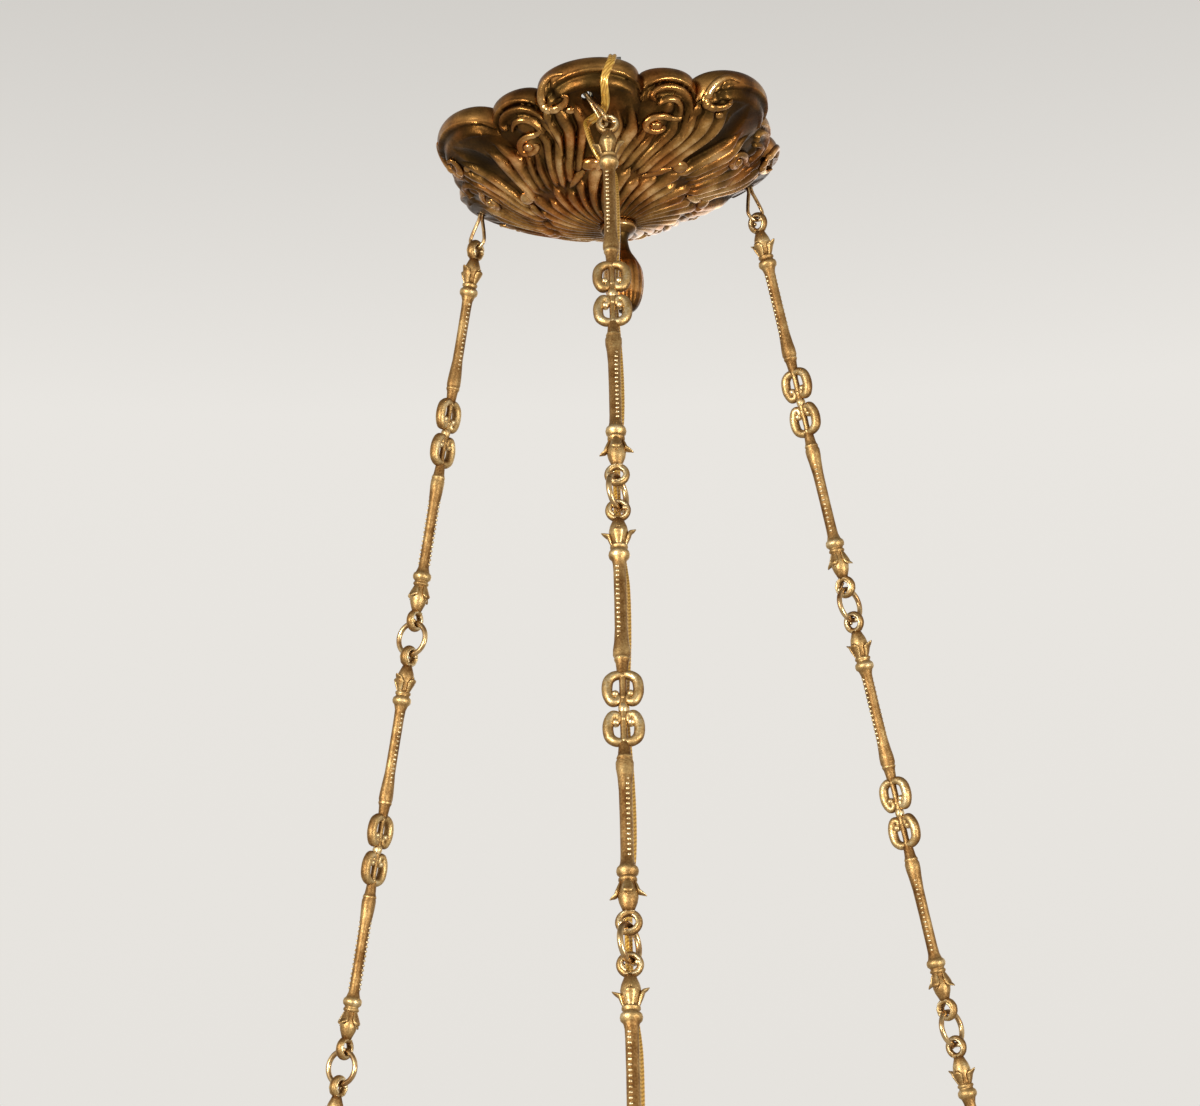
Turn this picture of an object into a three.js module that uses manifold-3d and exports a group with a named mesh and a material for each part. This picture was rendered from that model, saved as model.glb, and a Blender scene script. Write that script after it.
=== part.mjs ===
// Upper part of a gilt bronze chandelier: ceiling bar and hook, canopy, three link chains and the flex.
// Millimetres, +Z up. The origin is the middle of the ceiling bar's top face, where it meets the ceiling.
// One chain hangs at -Y, the near side. The other two hang at 150 and 30 degrees round the axis.

import * as THREE from 'three';
import { mergeVertices } from 'three/addons/utils/BufferGeometryUtils.js';
import Module from 'manifold-3d';

const wasm = await Module();
wasm.setup();

// Clearance left between two pieces that touch, and how far a cutting tool runs past the face it opens.
const gap = 0.3;
const overcut = 1;

// Ceiling bar and the hook under it.
const barLength = 110;
const barWidth = 22;
const barThickness = 5;
const barScrewSpacing = 88;
const barScrewHole = 5;
const hookWire = 5;
const hookBend = 17;
const hookNeck = 7;
const hookBendFrom = 55;
const hookBendTo = -175;
const hookShankDepth = 3;
const hookFlange = 12;
const hookFlangeThickness = 2.5;

// Stem: an eye bolt that carries the canopy and the finial.
const stemEyeWire = 4;
const stemEye = 20;
const stemDiameter = 8;
const stemInFinial = 20;
const stemNutFlats = 13;
const stemNutThickness = 6.5;
const washerDiameter = 24;
const washerThickness = 1.6;

// Canopy: a lobed, fluted bowl, open to the ceiling, that hangs a little askew on its hook.
const canopyRadius = 114;
const canopyNotchRadius = 95.5;
const canopySmallLobeRadius = 102.5;
const canopyNotchDrop = 5.8;
const canopySmallLobeDrop = 2.4;
const canopyLobeTurn = -6;
const canopyRimDrop = 28;
const canopyDepth = 62.5;
const canopyRimBand = 20;
const canopyRimOverhang = 5;
const canopyLipInset = 10.2;
const canopyWall = 3.7;
const canopyRimWall = 4;
const canopySeatThickness = 4;
const canopySeatRadius = 13;
const canopyBowlPower = 1.15;
const canopyLobes = 6;
const canopyLobeHalfAngle = 19;
const canopyFlutes = 18;
const canopyFluteDepth = 1.3;
const canopyFluteSwirl = 22;
// Lobes and flutes grow and fade between these shares of the way out from the axis.
const canopyLobesGrow = [0.52, 0.97];
const canopyFlutesGrow = [0.12, 0.3];
const canopyFlutesFade = [0.72, 0.97];
const canopySegments = 72;
const canopyTilt = 3.5;
const boreClearance = 0.45;

// Finial below the canopy.
const finialTopRadius = 10;
const finialNeckRadius = 5.4;
const finialBulbRadius = 12.8;
const finialLength = 61;
const finialBoreDepth = 24;

// Wire eyes, one for each chain, whose two legs go up through the canopy wall and bend apart inside.
const loopHoleInset = 11.5;
const loopHole = 6.8;
const loopWire = 2.4;
const loopWidth = 13.4;
const loopDrop = 24;
const loopLegSpacing = 2.8;
const loopLegInside = 9.8;
const loopLegSpread = 2.4;
const nearLoopShift = 5.9;
const nearLoopLean = 28;

// Cast links.
const linkPitch = 250;
const linkCount = 3;
const chainSlope = 12;
const eyeDiameter = 14.5;
const eyeHole = 7;
const calyxRadius = 5.4;
const leafSpan = 19.5;
const leafDepth = 13.5;
const leafHeight = 7;
const leafThickness = 3;
const neckRadius = 4.3;
const collarRadius = 6;
const collarDepth = 29;
const collarThickness = 4.8;
const shaftRadius = 3.5;
const swellingRadius = 4.4;
const swellingDepth = 90;
const swellingTaper = 12;
const motifWidth = 23;
const motifHeight = 45;
const motifBand = 4.6;
const motifThickness = 5.5;
const motifStem = 2.4;
const motifOpening = 9;
const motifLap = 1;
const rightChainTwist = 20;

// Split wire rings that join the links.
const ringDiameter = 24;
const ringWire = 3.4;
const nearRingTwist = -26;

// Flat twin flex, and the two-way terminal blocks at its ends.
const flexWidth = 5.3;
const flexThickness = 2.7;
const blockLength = 16;
const blockWidth = 19;
const blockHeight = 12;
const blockWay = 3.4;
const blockWaySpacing = 10;
const blockScrew = 4;
const wellFloor = 0.8;
const screwRecess = 0.6;
const blockFixingHole = 3;
const fixingHead = 5;
const fixingHeadThickness = 1.8;
const fixingDepth = 2.5;
const blockPlace = 34;
const lowerBlockDrop = 845;

const brass = { color: 0xa88048, roughness: 0.42, metalness: 1 };
const paleBrass = { color: 0xb89a62, roughness: 0.36, metalness: 1 };
const gilt = { color: 0xa86c34, roughness: 0.3, metalness: 1 };
const steel = { color: 0x8c8a84, roughness: 0.45, metalness: 1 };
const goldPlastic = { color: 0xc8963c, roughness: 0.35, metalness: 0 };
const bakelite = { color: 0xd8cdb4, roughness: 0.5, metalness: 0 };

// Derived places, all from the values above.
const rad = THREE.MathUtils.degToRad;
const hookRadius = hookBend / 2;
const hookMiddleZ = -barThickness - hookNeck - hookRadius * 0.35;
const hookBottomZ = hookMiddleZ - hookRadius;
const pivotZ = hookBottomZ + hookWire / 2 + gap + stemEyeWire / 2;
const stemEyeRadius = (stemEye - stemEyeWire) / 2;
const stemEyeZ = pivotZ - stemEyeRadius;
const canopyTopZ = -canopyRimDrop;
const canopyBottomZ = canopyTopZ - canopyDepth;
const stemBore = stemDiameter / 2 + boreClearance;
const bowlRadius = canopyRadius - canopyRimOverhang;
const loopHoleCircle = canopyRadius - loopHoleInset;
const bowlTopZ = canopyTopZ - canopyRimBand;
const bowlSlope = Math.atan2(bowlTopZ - canopyBottomZ, bowlRadius - canopySeatRadius);
const seatZ = canopyBottomZ + canopySeatThickness;
const finialTopZ = canopyBottomZ - gap;
const stemBottomZ = finialTopZ - stemInFinial;
const ringRadius = (ringDiameter - ringWire) / 2;
const ringSeat = (eyeHole - ringWire) / 2 - gap;
const holeToHole = 2 * (ringRadius + ringSeat);
const loopSeat = (eyeHole - loopWire) / 2 - gap;
const linkStep = linkPitch + holeToHole;

const pivot = new THREE.Vector3(0, 0, pivotZ);
const tiltTurn = new THREE.Quaternion().setFromEuler(new THREE.Euler(0, -rad(canopyTilt), 0));

// Closed mesh of one piece as a manifold-3d solid: vertices merged, faces of no area left out.
function toSolid(geometry) {
  const bare = geometry.clone();
  bare.deleteAttribute('normal');
  bare.deleteAttribute('uv');
  const merged = mergeVertices(bare, 1e-4);
  const index = [];
  for (let i = 0; i < merged.index.count; i += 3) {
    const [a, b, c] = [0, 1, 2].map((k) => merged.index.getX(i + k));
    if (a !== b && b !== c && c !== a) index.push(a, b, c);
  }
  return new wasm.Manifold(new wasm.Mesh({
    numProp: 3,
    vertProperties: new Float32Array(merged.attributes.position.array),
    triVerts: new Uint32Array(index),
  }));
}

function toGeometry(solid) {
  const mesh = solid.getMesh();
  const geometry = new THREE.BufferGeometry();
  geometry.setAttribute('position', new THREE.BufferAttribute(mesh.vertProperties.slice(), 3));
  geometry.setIndex(new THREE.BufferAttribute(mesh.triVerts.slice(), 1));
  geometry.computeVertexNormals();
  return geometry;
}

function join(...geometries) {
  return toGeometry(geometries.map(toSolid).reduce((whole, piece) => whole.add(piece)));
}

function cut(geometry, ...tools) {
  return toGeometry(tools.map(toSolid).reduce((whole, tool) => whole.subtract(tool), toSolid(geometry)));
}

// Turned shape about Z. The profile runs up the outside as [radius, z] pairs.
function turned(profile, segments) {
  const points = profile.map(([radius, z]) => new THREE.Vector2(radius, z));
  return new THREE.LatheGeometry(points, segments).rotateX(Math.PI / 2);
}

function ringProfile(radius, wire, sides) {
  const points = [];
  for (let i = 0; i <= sides; i += 1) {
    const angle = (i / sides) * 2 * Math.PI;
    points.push([radius + (wire / 2) * Math.cos(angle), (wire / 2) * Math.sin(angle)]);
  }
  return points;
}

function rod(diameter, bottomZ, topZ, segments = 12) {
  const radius = diameter / 2;
  return turned([[0, bottomZ], [radius, bottomZ], [radius, topZ], [0, topZ]], segments);
}

function block(width, depth, height) {
  return new THREE.BoxGeometry(width, depth, height);
}

// Wire or flex along a curve, with a section given as a shape.
function tube(path, section, steps) {
  return new THREE.ExtrudeGeometry(section, { steps, bevelEnabled: false, extrudePath: path });
}

function roundSection(diameter, sides) {
  const shape = new THREE.Shape();
  for (let i = 0; i < sides; i += 1) {
    const angle = ((i + 0.5) / sides) * 2 * Math.PI;
    const point = [(diameter / 2) * Math.cos(angle), (diameter / 2) * Math.sin(angle)];
    if (i === 0) shape.moveTo(...point);
    else shape.lineTo(...point);
  }
  shape.closePath();
  return shape;
}

const materials = new Map();

function piece(name, geometry, finish) {
  if (!materials.has(finish)) materials.set(finish, new THREE.MeshStandardMaterial(finish));
  const mesh = new THREE.Mesh(geometry, materials.get(finish));
  mesh.name = name;
  return mesh;
}

// Steel bar screwed to the ceiling: two screw holes, and blind holes for the hook and the block's screw.
function ceilingBar() {
  const bar = block(barWidth, barLength, barThickness).translate(0, 0, -barThickness / 2);
  const holes = [-1, 1].map((side) => (
    rod(barScrewHole, -barThickness - overcut, overcut).translate(0, (side * barScrewSpacing) / 2, 0)
  ));
  const shankHole = rod(hookWire + 3 * gap, -barThickness - overcut, -barThickness + hookShankDepth);
  const fixingHole = rod(blockFixingHole, -barThickness - overcut, -barThickness + fixingDepth, 8);
  return cut(bar, ...holes, shankHole, fixingHole.translate(0, -blockPlace, 0));
}

// Forged hook: shank, flange and an open round bend whose low point is under the shank.
function ceilingHook() {
  const points = [];
  const bendSteps = 8;
  points.push(new THREE.Vector3(0, 0, -barThickness + hookShankDepth - gap));
  points.push(new THREE.Vector3(0, 0, -barThickness));
  points.push(new THREE.Vector3(hookRadius * 0.12, 0, -barThickness - hookNeck * 0.5));
  for (let i = 0; i <= bendSteps; i += 1) {
    const angle = rad(hookBendFrom + ((hookBendTo - hookBendFrom) * i) / bendSteps);
    const [x, up] = [hookRadius * Math.cos(angle), hookRadius * Math.sin(angle)];
    points.push(new THREE.Vector3(x, 0, hookMiddleZ + up));
  }
  const wire = tube(new THREE.CatmullRomCurve3(points), roundSection(hookWire, 8), 22);
  const flange = rod(hookFlange, -barThickness - gap - hookFlangeThickness, -barThickness - gap);
  return join(wire, flange);
}

// Eye and threaded stem in one piece.
function stem() {
  const eye = turned(ringProfile(stemEyeRadius, stemEyeWire, 6), 16);
  eye.rotateY(Math.PI / 2).translate(0, 0, stemEyeZ);
  return join(eye, rod(stemDiameter, stemBottomZ, stemEyeZ - stemEyeRadius));
}

function washer() {
  const [low, high] = [seatZ + gap, seatZ + gap + washerThickness];
  const [inner, outer] = [stemDiameter / 2 + gap, washerDiameter / 2];
  return turned([[inner, low], [outer, low], [outer, high], [inner, high], [inner, low]], 16);
}

function stemNut() {
  const low = seatZ + 2 * gap + washerThickness;
  const high = low + stemNutThickness;
  const outer = stemNutFlats / 2 / Math.cos(Math.PI / 6);
  const hexagon = turned([[0, low], [outer, low], [outer, high], [0, high]], 6);
  return cut(hexagon, rod(stemDiameter + 2 * gap, low - overcut, high + overcut));
}

// Height of the bowl's outer face at a radius, before lobes and flutes.
function bowlZ(radius) {
  const share = Math.max(radius - canopySeatRadius, 0) / (bowlRadius - canopySeatRadius);
  return canopyBottomZ + (bowlTopZ - canopyBottomZ) * share ** canopyBowlPower;
}

// How far the rim is drawn in and dips at an angle: six wide lobes with a narrow one between each two.
function scallop(angle) {
  const pitch = 360 / canopyLobes;
  const turnedBack = angle + 90 - canopyLobeTurn;
  const off = Math.abs((((turnedBack % pitch) + pitch * 1.5) % pitch) - pitch / 2);
  const narrow = pitch / 2 - canopyLobeHalfAngle;
  const wide = off <= canopyLobeHalfAngle;
  const across = wide ? off / canopyLobeHalfAngle : (pitch / 2 - off) / narrow;
  const arch = Math.sqrt(Math.max(0, 1 - across ** 2));
  const reach = (wide ? canopyRadius : canopySmallLobeRadius) - canopyNotchRadius;
  const rise = canopyNotchDrop - (wide ? 0 : canopySmallLobeDrop);
  return { inset: canopyRadius - canopyNotchRadius - reach * arch, dip: canopyNotchDrop - rise * arch };
}

// Bowl with a thick rolled rim. The lathe's rings are then drawn in between the lobes and fluted.
function canopyShell() {
  const outside = [[stemBore, canopyBottomZ]];
  for (const share of [0, 0.16, 0.35, 0.56, 0.78, 1]) {
    const radius = canopySeatRadius + (bowlRadius - canopySeatRadius) * share;
    outside.push([radius, bowlZ(radius)]);
  }
  const rim = [
    [canopyRadius - canopyLipInset * 0.06, canopyTopZ - canopyRimBand * 0.62],
    [canopyRadius, canopyTopZ - canopyRimBand * 0.35],
    [canopyRadius - canopyLipInset * 0.25, canopyTopZ - canopyRimBand * 0.08],
    [canopyRadius - canopyLipInset * 0.64, canopyTopZ],
    [canopyRadius - canopyLipInset, canopyTopZ - canopyRimBand * 0.14],
  ];
  const inside = [
    [canopyRadius - canopyLipInset * 0.88, canopyTopZ - canopyRimBand * 0.26],
    [canopyRadius - canopyRimWall, canopyTopZ - canopyRimBand * 0.42],
    [canopyRadius - canopyRimWall * 1.15, canopyTopZ - canopyRimBand * 0.68],
  ];
  for (const share of [0.98, 0.74, 0.46, 0.2, 0.03]) {
    const radius = canopySeatRadius + (bowlRadius - canopySeatRadius) * share;
    inside.push([radius, Math.max(bowlZ(radius) + canopyWall / Math.cos(bowlSlope), seatZ)]);
  }
  inside.push([canopySeatRadius, seatZ], [stemBore, seatZ]);
  const geometry = turned([...outside, ...rim, ...inside, outside[0]], canopySegments);
  const position = geometry.attributes.position;
  for (let i = 0; i < position.count; i += 1) {
    const [x, y, z] = [position.getX(i), position.getY(i), position.getZ(i)];
    const radius = Math.hypot(x, y);
    const angle = THREE.MathUtils.radToDeg(Math.atan2(y, x));
    const out = radius / canopyRadius;
    const outward = THREE.MathUtils.smoothstep(out, ...canopyLobesGrow);
    const fading = THREE.MathUtils.smoothstep(out, ...canopyFlutesFade);
    const fluted = THREE.MathUtils.smoothstep(out, ...canopyFlutesGrow) * (1 - fading);
    const swirl = canopyFluteSwirl * Math.sin((Math.PI * radius) / bowlRadius);
    const wave = Math.cos(rad(canopyFlutes * (angle + swirl)));
    const { inset, dip } = scallop(angle);
    const drawn = (radius - inset * outward) / radius;
    position.setXYZ(i, x * drawn, y * drawn, z - dip * outward + canopyFluteDepth * fluted * wave);
  }
  return geometry;
}

function finial() {
  const z = (share) => finialTopZ - finialLength * share;
  return turned([
    [0, z(1)],
    [finialBulbRadius * 0.27, z(0.985)],
    [finialBulbRadius * 0.7, z(0.92)],
    [finialBulbRadius * 0.88, z(0.78)],
    [finialBulbRadius, z(0.62)],
    [finialBulbRadius * 0.92, z(0.5)],
    [finialBulbRadius * 0.69, z(0.4)],
    [finialNeckRadius * 1.15, z(0.29)],
    [finialNeckRadius, z(0.2)],
    [finialNeckRadius * 1.22, z(0.12)],
    [finialTopRadius, z(0.07)],
    [finialTopRadius, z(0)],
    [stemBore, z(0)],
    [stemBore, finialTopZ - finialBoreDepth],
    [0, finialTopZ - finialBoreDepth],
  ], 14);
}

// Frame of a chain: X round the canopy, Y in towards its axis, Z up along the sloping chain.
function chainTurn(azimuth) {
  return new THREE.Quaternion().setFromEuler(new THREE.Euler(-rad(chainSlope), 0, rad(azimuth + 90), 'ZXY'));
}

function aboutZ(degrees) {
  return new THREE.Quaternion().setFromAxisAngle(new THREE.Vector3(0, 0, 1), rad(degrees));
}

// The three chains. The near one's hole is beside the middle of its lobe, so that its wire eye leans.
const chains = [
  { name: 'near', azimuth: -90, shift: -nearLoopShift, lean: nearLoopLean, ringTwist: nearRingTwist, linkTwist: 0 },
  { name: 'left', azimuth: 150, shift: 0, lean: 0, ringTwist: 0, linkTwist: 0 },
  { name: 'right', azimuth: 30, shift: 0, lean: 0, ringTwist: 0, linkTwist: rightChainTwist },
];
for (const chain of chains) {
  const angle = rad(chain.azimuth + chain.shift);
  const hole = new THREE.Vector3(Math.cos(angle), Math.sin(angle), 0).multiplyScalar(loopHoleCircle);
  hole.z = bowlZ(loopHoleCircle);
  chain.hole = hole.sub(pivot).applyQuaternion(tiltTurn).add(pivot);
  chain.turn = chainTurn(chain.azimuth);
  const lean = new THREE.Quaternion().setFromAxisAngle(new THREE.Vector3(0, 1, 0), -rad(chain.lean));
  chain.loopTurn = chain.turn.clone().multiply(lean);
  chain.down = new THREE.Vector3(0, 0, -1).applyQuaternion(chain.turn);
  chain.start = new THREE.Vector3(0, 0, -loopDrop).applyQuaternion(chain.loopTurn).add(chain.hole);
}

// Wire eye, hole centre at the origin: two legs through the wall, then a pear with a round foot.
function wireEye() {
  const leg = loopLegSpacing / 2;
  const foot = (loopWidth - loopWire) / 2;
  const footZ = -(loopDrop - loopSeat) + foot;
  const half = [
    [leg + loopLegSpread, loopLegInside - loopWire * 0.15],
    [leg + loopLegSpread * 0.45, loopLegInside],
    [leg + loopLegSpread * 0.2, loopLegInside - loopWire * 0.5],
    [leg, loopLegInside - loopWire * 1.35],
    [leg, -loopWire],
    [leg + loopWire * 0.5, -loopWire * 2.5],
    [foot - loopWire * 0.25, footZ + loopWire * 1.35],
    [foot, footZ],
    [foot * Math.cos(rad(30)), footZ - foot * Math.sin(rad(30))],
    [foot * Math.cos(rad(60)), footZ - foot * Math.sin(rad(60))],
  ];
  const other = half.map(([y, z]) => [-y, z]).reverse();
  const points = [...half, [0, footZ - foot], ...other].map(([y, z]) => new THREE.Vector3(0, y, z));
  return tube(new THREE.CatmullRomCurve3(points), roundSection(loopWire, 6), 28);
}

// One half of a link, from the eye's hole centre at the origin down to its middle.
function linkHalf() {
  const eyeRadius = (eyeDiameter + eyeHole) / 4;
  const eye = turned(ringProfile(eyeRadius, (eyeDiameter - eyeHole) / 2, 5), 12).rotateX(Math.PI / 2);
  const motifTop = -(linkPitch - motifHeight) / 2;
  const eyeBottom = -eyeRadius - loopWire / 4;
  const body = turned([
    [0, motifTop - motifBand * 0.6],
    [shaftRadius * 0.8, motifTop - motifBand * 0.6],
    [shaftRadius * 0.86, motifTop + motifBand * 0.9],
    [swellingRadius * 1.05, motifTop + motifBand * 1.6],
    [shaftRadius, motifTop + motifBand * 2],
    [swellingRadius, -swellingDepth],
    [shaftRadius, -swellingDepth + swellingTaper],
    [shaftRadius, -collarDepth - collarThickness],
    [neckRadius, -collarDepth - collarThickness / 2],
    [collarRadius, -collarDepth],
    [neckRadius, -collarDepth + collarThickness / 2],
    [neckRadius, -collarDepth + collarThickness * 1.3],
    [calyxRadius, -leafDepth],
    [calyxRadius * 0.63, eyeBottom],
    [0, eyeBottom],
  ], 6);
  const leaf = new THREE.Shape();
  leaf.moveTo(calyxRadius / 2, -leafDepth - leafHeight * 0.7);
  leaf.lineTo(leafSpan / 2, -leafDepth + leafHeight * 0.1);
  leaf.lineTo(leafSpan / 2, -leafDepth + leafHeight * 0.3);
  leaf.lineTo(calyxRadius / 2, -leafDepth + leafHeight * 0.3);
  leaf.closePath();
  const right = new THREE.ExtrudeGeometry(leaf, { depth: leafThickness, bevelEnabled: false });
  right.rotateX(Math.PI / 2).translate(0, leafThickness / 2, 0);
  const left = right.clone().rotateZ(Math.PI);
  return toSolid(eye).add(toSolid(body)).add(toSolid(right)).add(toSolid(left));
}

// Figure-of-eight motif of facing scrolls with a thin stem down the middle.
function motif() {
  const [half, tall] = [motifWidth / 2, motifHeight / 4];
  const rings = [1, -1].map((side) => {
    const shape = new THREE.Shape().absellipse(0, side * tall, half, tall + motifLap, 0, 2 * Math.PI, false, 0);
    for (const across of [1, -1]) {
      const opening = new THREE.Path();
      const inner = half - motifBand - motifStem / 2;
      const x = across * (motifStem / 2 + inner / 2);
      const y = side * (2 * tall - motifBand - motifOpening / 2);
      opening.absellipse(x, y, inner / 2, motifOpening / 2, 0, 2 * Math.PI, false, 0);
      shape.holes.push(opening);
    }
    return new THREE.ExtrudeGeometry(shape, { depth: motifThickness, bevelEnabled: false, curveSegments: 5 });
  });
  const solid = toSolid(rings[0]).add(toSolid(rings[1]));
  return toSolid(toGeometry(solid).rotateX(Math.PI / 2).translate(0, motifThickness / 2, 0));
}

function link() {
  const upper = linkHalf();
  const lower = toSolid(toGeometry(upper).rotateY(Math.PI).translate(0, 0, -linkPitch));
  const middle = toSolid(toGeometry(motif()).translate(0, 0, -linkPitch / 2));
  return toGeometry(upper.add(lower).add(middle));
}

// Split ring about X, centred at the origin.
function splitRing() {
  return turned(ringProfile(ringRadius, ringWire, 6), 16).rotateY(Math.PI / 2);
}

// Two-way terminal block, length along Y, centred at the origin, with its ways open at one end.
function terminalBlock() {
  const body = block(blockWidth, blockLength, blockHeight);
  const ways = [-1, 1].map((side) => (
    rod(blockWay, -blockLength, blockLength * 0.3, 8).rotateX(-Math.PI / 2)
      .translate((side * blockWaySpacing) / 2, 0, 0)
  ));
  const wells = [-1, 1].map((side) => (
    rod(blockScrew + 2 * gap, -blockHeight, -blockWay / 2 - wellFloor, 8)
      .translate((side * blockWaySpacing) / 2, 0, 0)
  ));
  return cut(body, ...ways, ...wells, rod(blockFixingHole, -blockHeight, blockHeight, 8));
}

// Screw up through the middle of the block into the ceiling bar, height measured from the block's middle.
function fixingScrew() {
  const under = -blockHeight / 2 - gap;
  const [head, shank] = [fixingHead / 2, blockFixingHole / 2 - gap];
  const top = blockHeight / 2 + gap + fixingDepth - gap;
  return turned([
    [0, under - fixingHeadThickness],
    [head, under - fixingHeadThickness],
    [head, under],
    [shank, under],
    [shank, top],
    [0, top],
  ], 8);
}

function terminalScrew() {
  return rod(blockScrew, -blockHeight / 2 + screwRecess, -blockWay / 2 - wellFloor - gap, 8);
}

// A block with its two clamping screws, as a group.
function terminalWithScrews(name) {
  const group = new THREE.Group();
  group.add(piece(`${name}_block`, terminalBlock(), bakelite));
  for (const side of [-1, 1]) {
    const screw = piece(`${name}_screw_${side < 0 ? 'a' : 'b'}`, terminalScrew(), steel);
    screw.position.x = (side * blockWaySpacing) / 2;
    group.add(screw);
  }
  return group;
}

// Flat section with rounded edges for the twin flex, width along X.
function flexSection() {
  const [half, thin] = [flexWidth / 2, flexThickness / 2];
  const corner = thin * 0.6;
  const outline = [
    [half, -thin * 0.4], [half, thin * 0.4], [half - corner, thin], [-half + corner, thin],
    [-half, thin * 0.4], [-half, -thin * 0.4], [-half + corner, -thin], [half - corner, -thin],
  ];
  return new THREE.Shape(outline.map(([x, y]) => new THREE.Vector2(x, y)));
}

// Part of the flex's one route between two places along it, drawn back by half a gap at each end.
class Stretch extends THREE.Curve {
  constructor(route, from, to) {
    super();
    const trim = gap / 2 / route.getLength();
    this.route = route;
    this.from = from + trim;
    this.to = to - trim;
  }

  getPoint(share, target = new THREE.Vector3()) {
    return this.route.getPointAt(this.from + (this.to - this.from) * share, target);
  }
}

// The flex from the ceiling block over the rim, and left round the near wire eye: [x, y, z].
const flexFromCeiling = [
  [0, -blockPlace - blockLength / 2 - gap, -barThickness - gap - blockHeight / 2],
  [0.2, -52, -11.8],
  [1.5, -68, -14.6],
  [4, -86, -19],
  [6, -98, -23],
  [6.8, -105, -25.8],
  [6.9, -110.8, -28.9],
  [6, -114.3, -34],
  [3.6, -114.8, -39.6],
  [1.6, -113.4, -45.6],
  [1.6, -109, -51.4],
  [1.6, -102.4, -55],
  [-1.4, -95.6, -59.2],
  [-6.6, -94.4, -62.2],
  [-10.3, -97.4, -67],
  [-9.9, -101, -73.4],
];

// The flex behind each link of the near chain: [across, in towards the axis, down from the link's eye].
const flexPastCalyx = [[-9.3, 6.4, 11.5], [-5.6, 8.8, 18.5]];
const flexBehindLink = [
  [-0.6, 10.4, 0],
  [0.4, 9.2, 15],
  [1.8, 8.9, 29],
  [3.2, 6.8, 44],
  [3.4, 6.5, 70],
  [2.6, 6.8, 92],
  [1.6, 6.2, 108],
  [1, 6.1, 125],
  [1.8, 6.5, 145],
  [2.8, 6.8, 165],
  [3.2, 7, 190],
  [2.6, 7.2, 208],
  [1.2, 8.9, 221],
  [-0.2, 9.2, 236],
  [-0.6, 10.5, 250],
  [-0.7, 11, 261.8],
];
const stepsPerPoint = 40;
const flexBelowLinks = [[-0.5, 10.6, 822], [0, 10, 834], [0, 9.8, lowerBlockDrop - gap]];

// Whole route as points, and the places on it where one stretch of the flex meets the next.
function flexRoute(chain) {
  const points = flexFromCeiling.map((point) => new THREE.Vector3(...point));
  const place = (across, inward, down) => (
    new THREE.Vector3(across, inward, -down).applyQuaternion(chain.turn).add(chain.start)
  );
  points.push(...flexPastCalyx.map((point) => place(...point)));
  const meetings = [6, 12];
  for (let i = 0; i < linkCount; i += 1) {
    for (const [across, inward, down] of i === 0 ? flexBehindLink.slice(2) : flexBehindLink) {
      points.push(place(across, inward, down + i * linkStep));
      if (down === 221 && i < linkCount - 1) meetings.push(points.length - 1);
    }
    if (i < linkCount - 1) meetings.push(points.length - 1);
  }
  points.push(...flexBelowLinks.map((point) => place(...point)));
  return { points, meetings };
}

function placeOnRoute(route, index, count) {
  const lengths = route.getLengths(count * stepsPerPoint);
  return lengths[index * stepsPerPoint] / lengths[lengths.length - 1];
}

const object = new THREE.Group();

object.add(piece('ceiling_bar', ceilingBar(), steel));
object.add(piece('ceiling_hook', ceilingHook(), steel));

// Canopy, stem and finial swing together on the hook, about the pivot.
const hanging = new THREE.Group();
hanging.position.copy(pivot);
hanging.quaternion.copy(tiltTurn);
const fromCeiling = new THREE.Group();
fromCeiling.position.set(0, 0, -pivotZ);
hanging.add(fromCeiling);
object.add(hanging);
fromCeiling.add(piece('stem', stem(), steel));
fromCeiling.add(piece('stem_washer', washer(), steel));
fromCeiling.add(piece('stem_nut', stemNut(), steel));
fromCeiling.add(piece('finial', finial(), gilt));

// Each hole in the canopy follows its wire eye, seen in the canopy's own frame.
const backTilt = tiltTurn.clone().invert();
const holeTools = chains.map((chain) => {
  const tool = rod(loopHole, -loopDrop / 2, loopDrop / 2);
  tool.applyQuaternion(backTilt.clone().multiply(chain.loopTurn));
  const place = chain.hole.clone().sub(pivot).applyQuaternion(backTilt).add(pivot);
  return tool.translate(place.x, place.y, place.z);
});
fromCeiling.add(piece('canopy', cut(canopyShell(), ...holeTools), gilt));

const eyeGeometry = wireEye();
const linkGeometry = link();
const ringGeometry = splitRing();
for (const chain of chains) {
  const eye = piece(`${chain.name}_wire_eye`, eyeGeometry, paleBrass);
  eye.position.copy(chain.hole);
  eye.quaternion.copy(chain.loopTurn);
  object.add(eye);
  for (let i = 0; i < linkCount; i += 1) {
    const cast = piece(`${chain.name}_link_${i + 1}`, linkGeometry, brass);
    cast.position.copy(chain.start).addScaledVector(chain.down, i * linkStep);
    cast.quaternion.copy(chain.turn).multiply(aboutZ(chain.linkTwist));
    object.add(cast);
    const ring = piece(`${chain.name}_ring_${i + 1}`, ringGeometry, paleBrass);
    ring.position.copy(chain.start).addScaledVector(chain.down, i * linkStep + linkPitch + holeToHole / 2);
    ring.quaternion.copy(chain.turn).multiply(aboutZ(chain.linkTwist + chain.ringTwist));
    object.add(ring);
  }
}

// Upper terminal block under the ceiling bar, and the one at the flex's lower end for the lamp's wires.
const upperBlock = terminalWithScrews('ceiling_terminal');
upperBlock.position.set(0, -blockPlace, -barThickness - gap - blockHeight / 2);
upperBlock.rotation.z = Math.PI;
upperBlock.add(piece('ceiling_block_screw', fixingScrew(), steel));
object.add(upperBlock);

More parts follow.
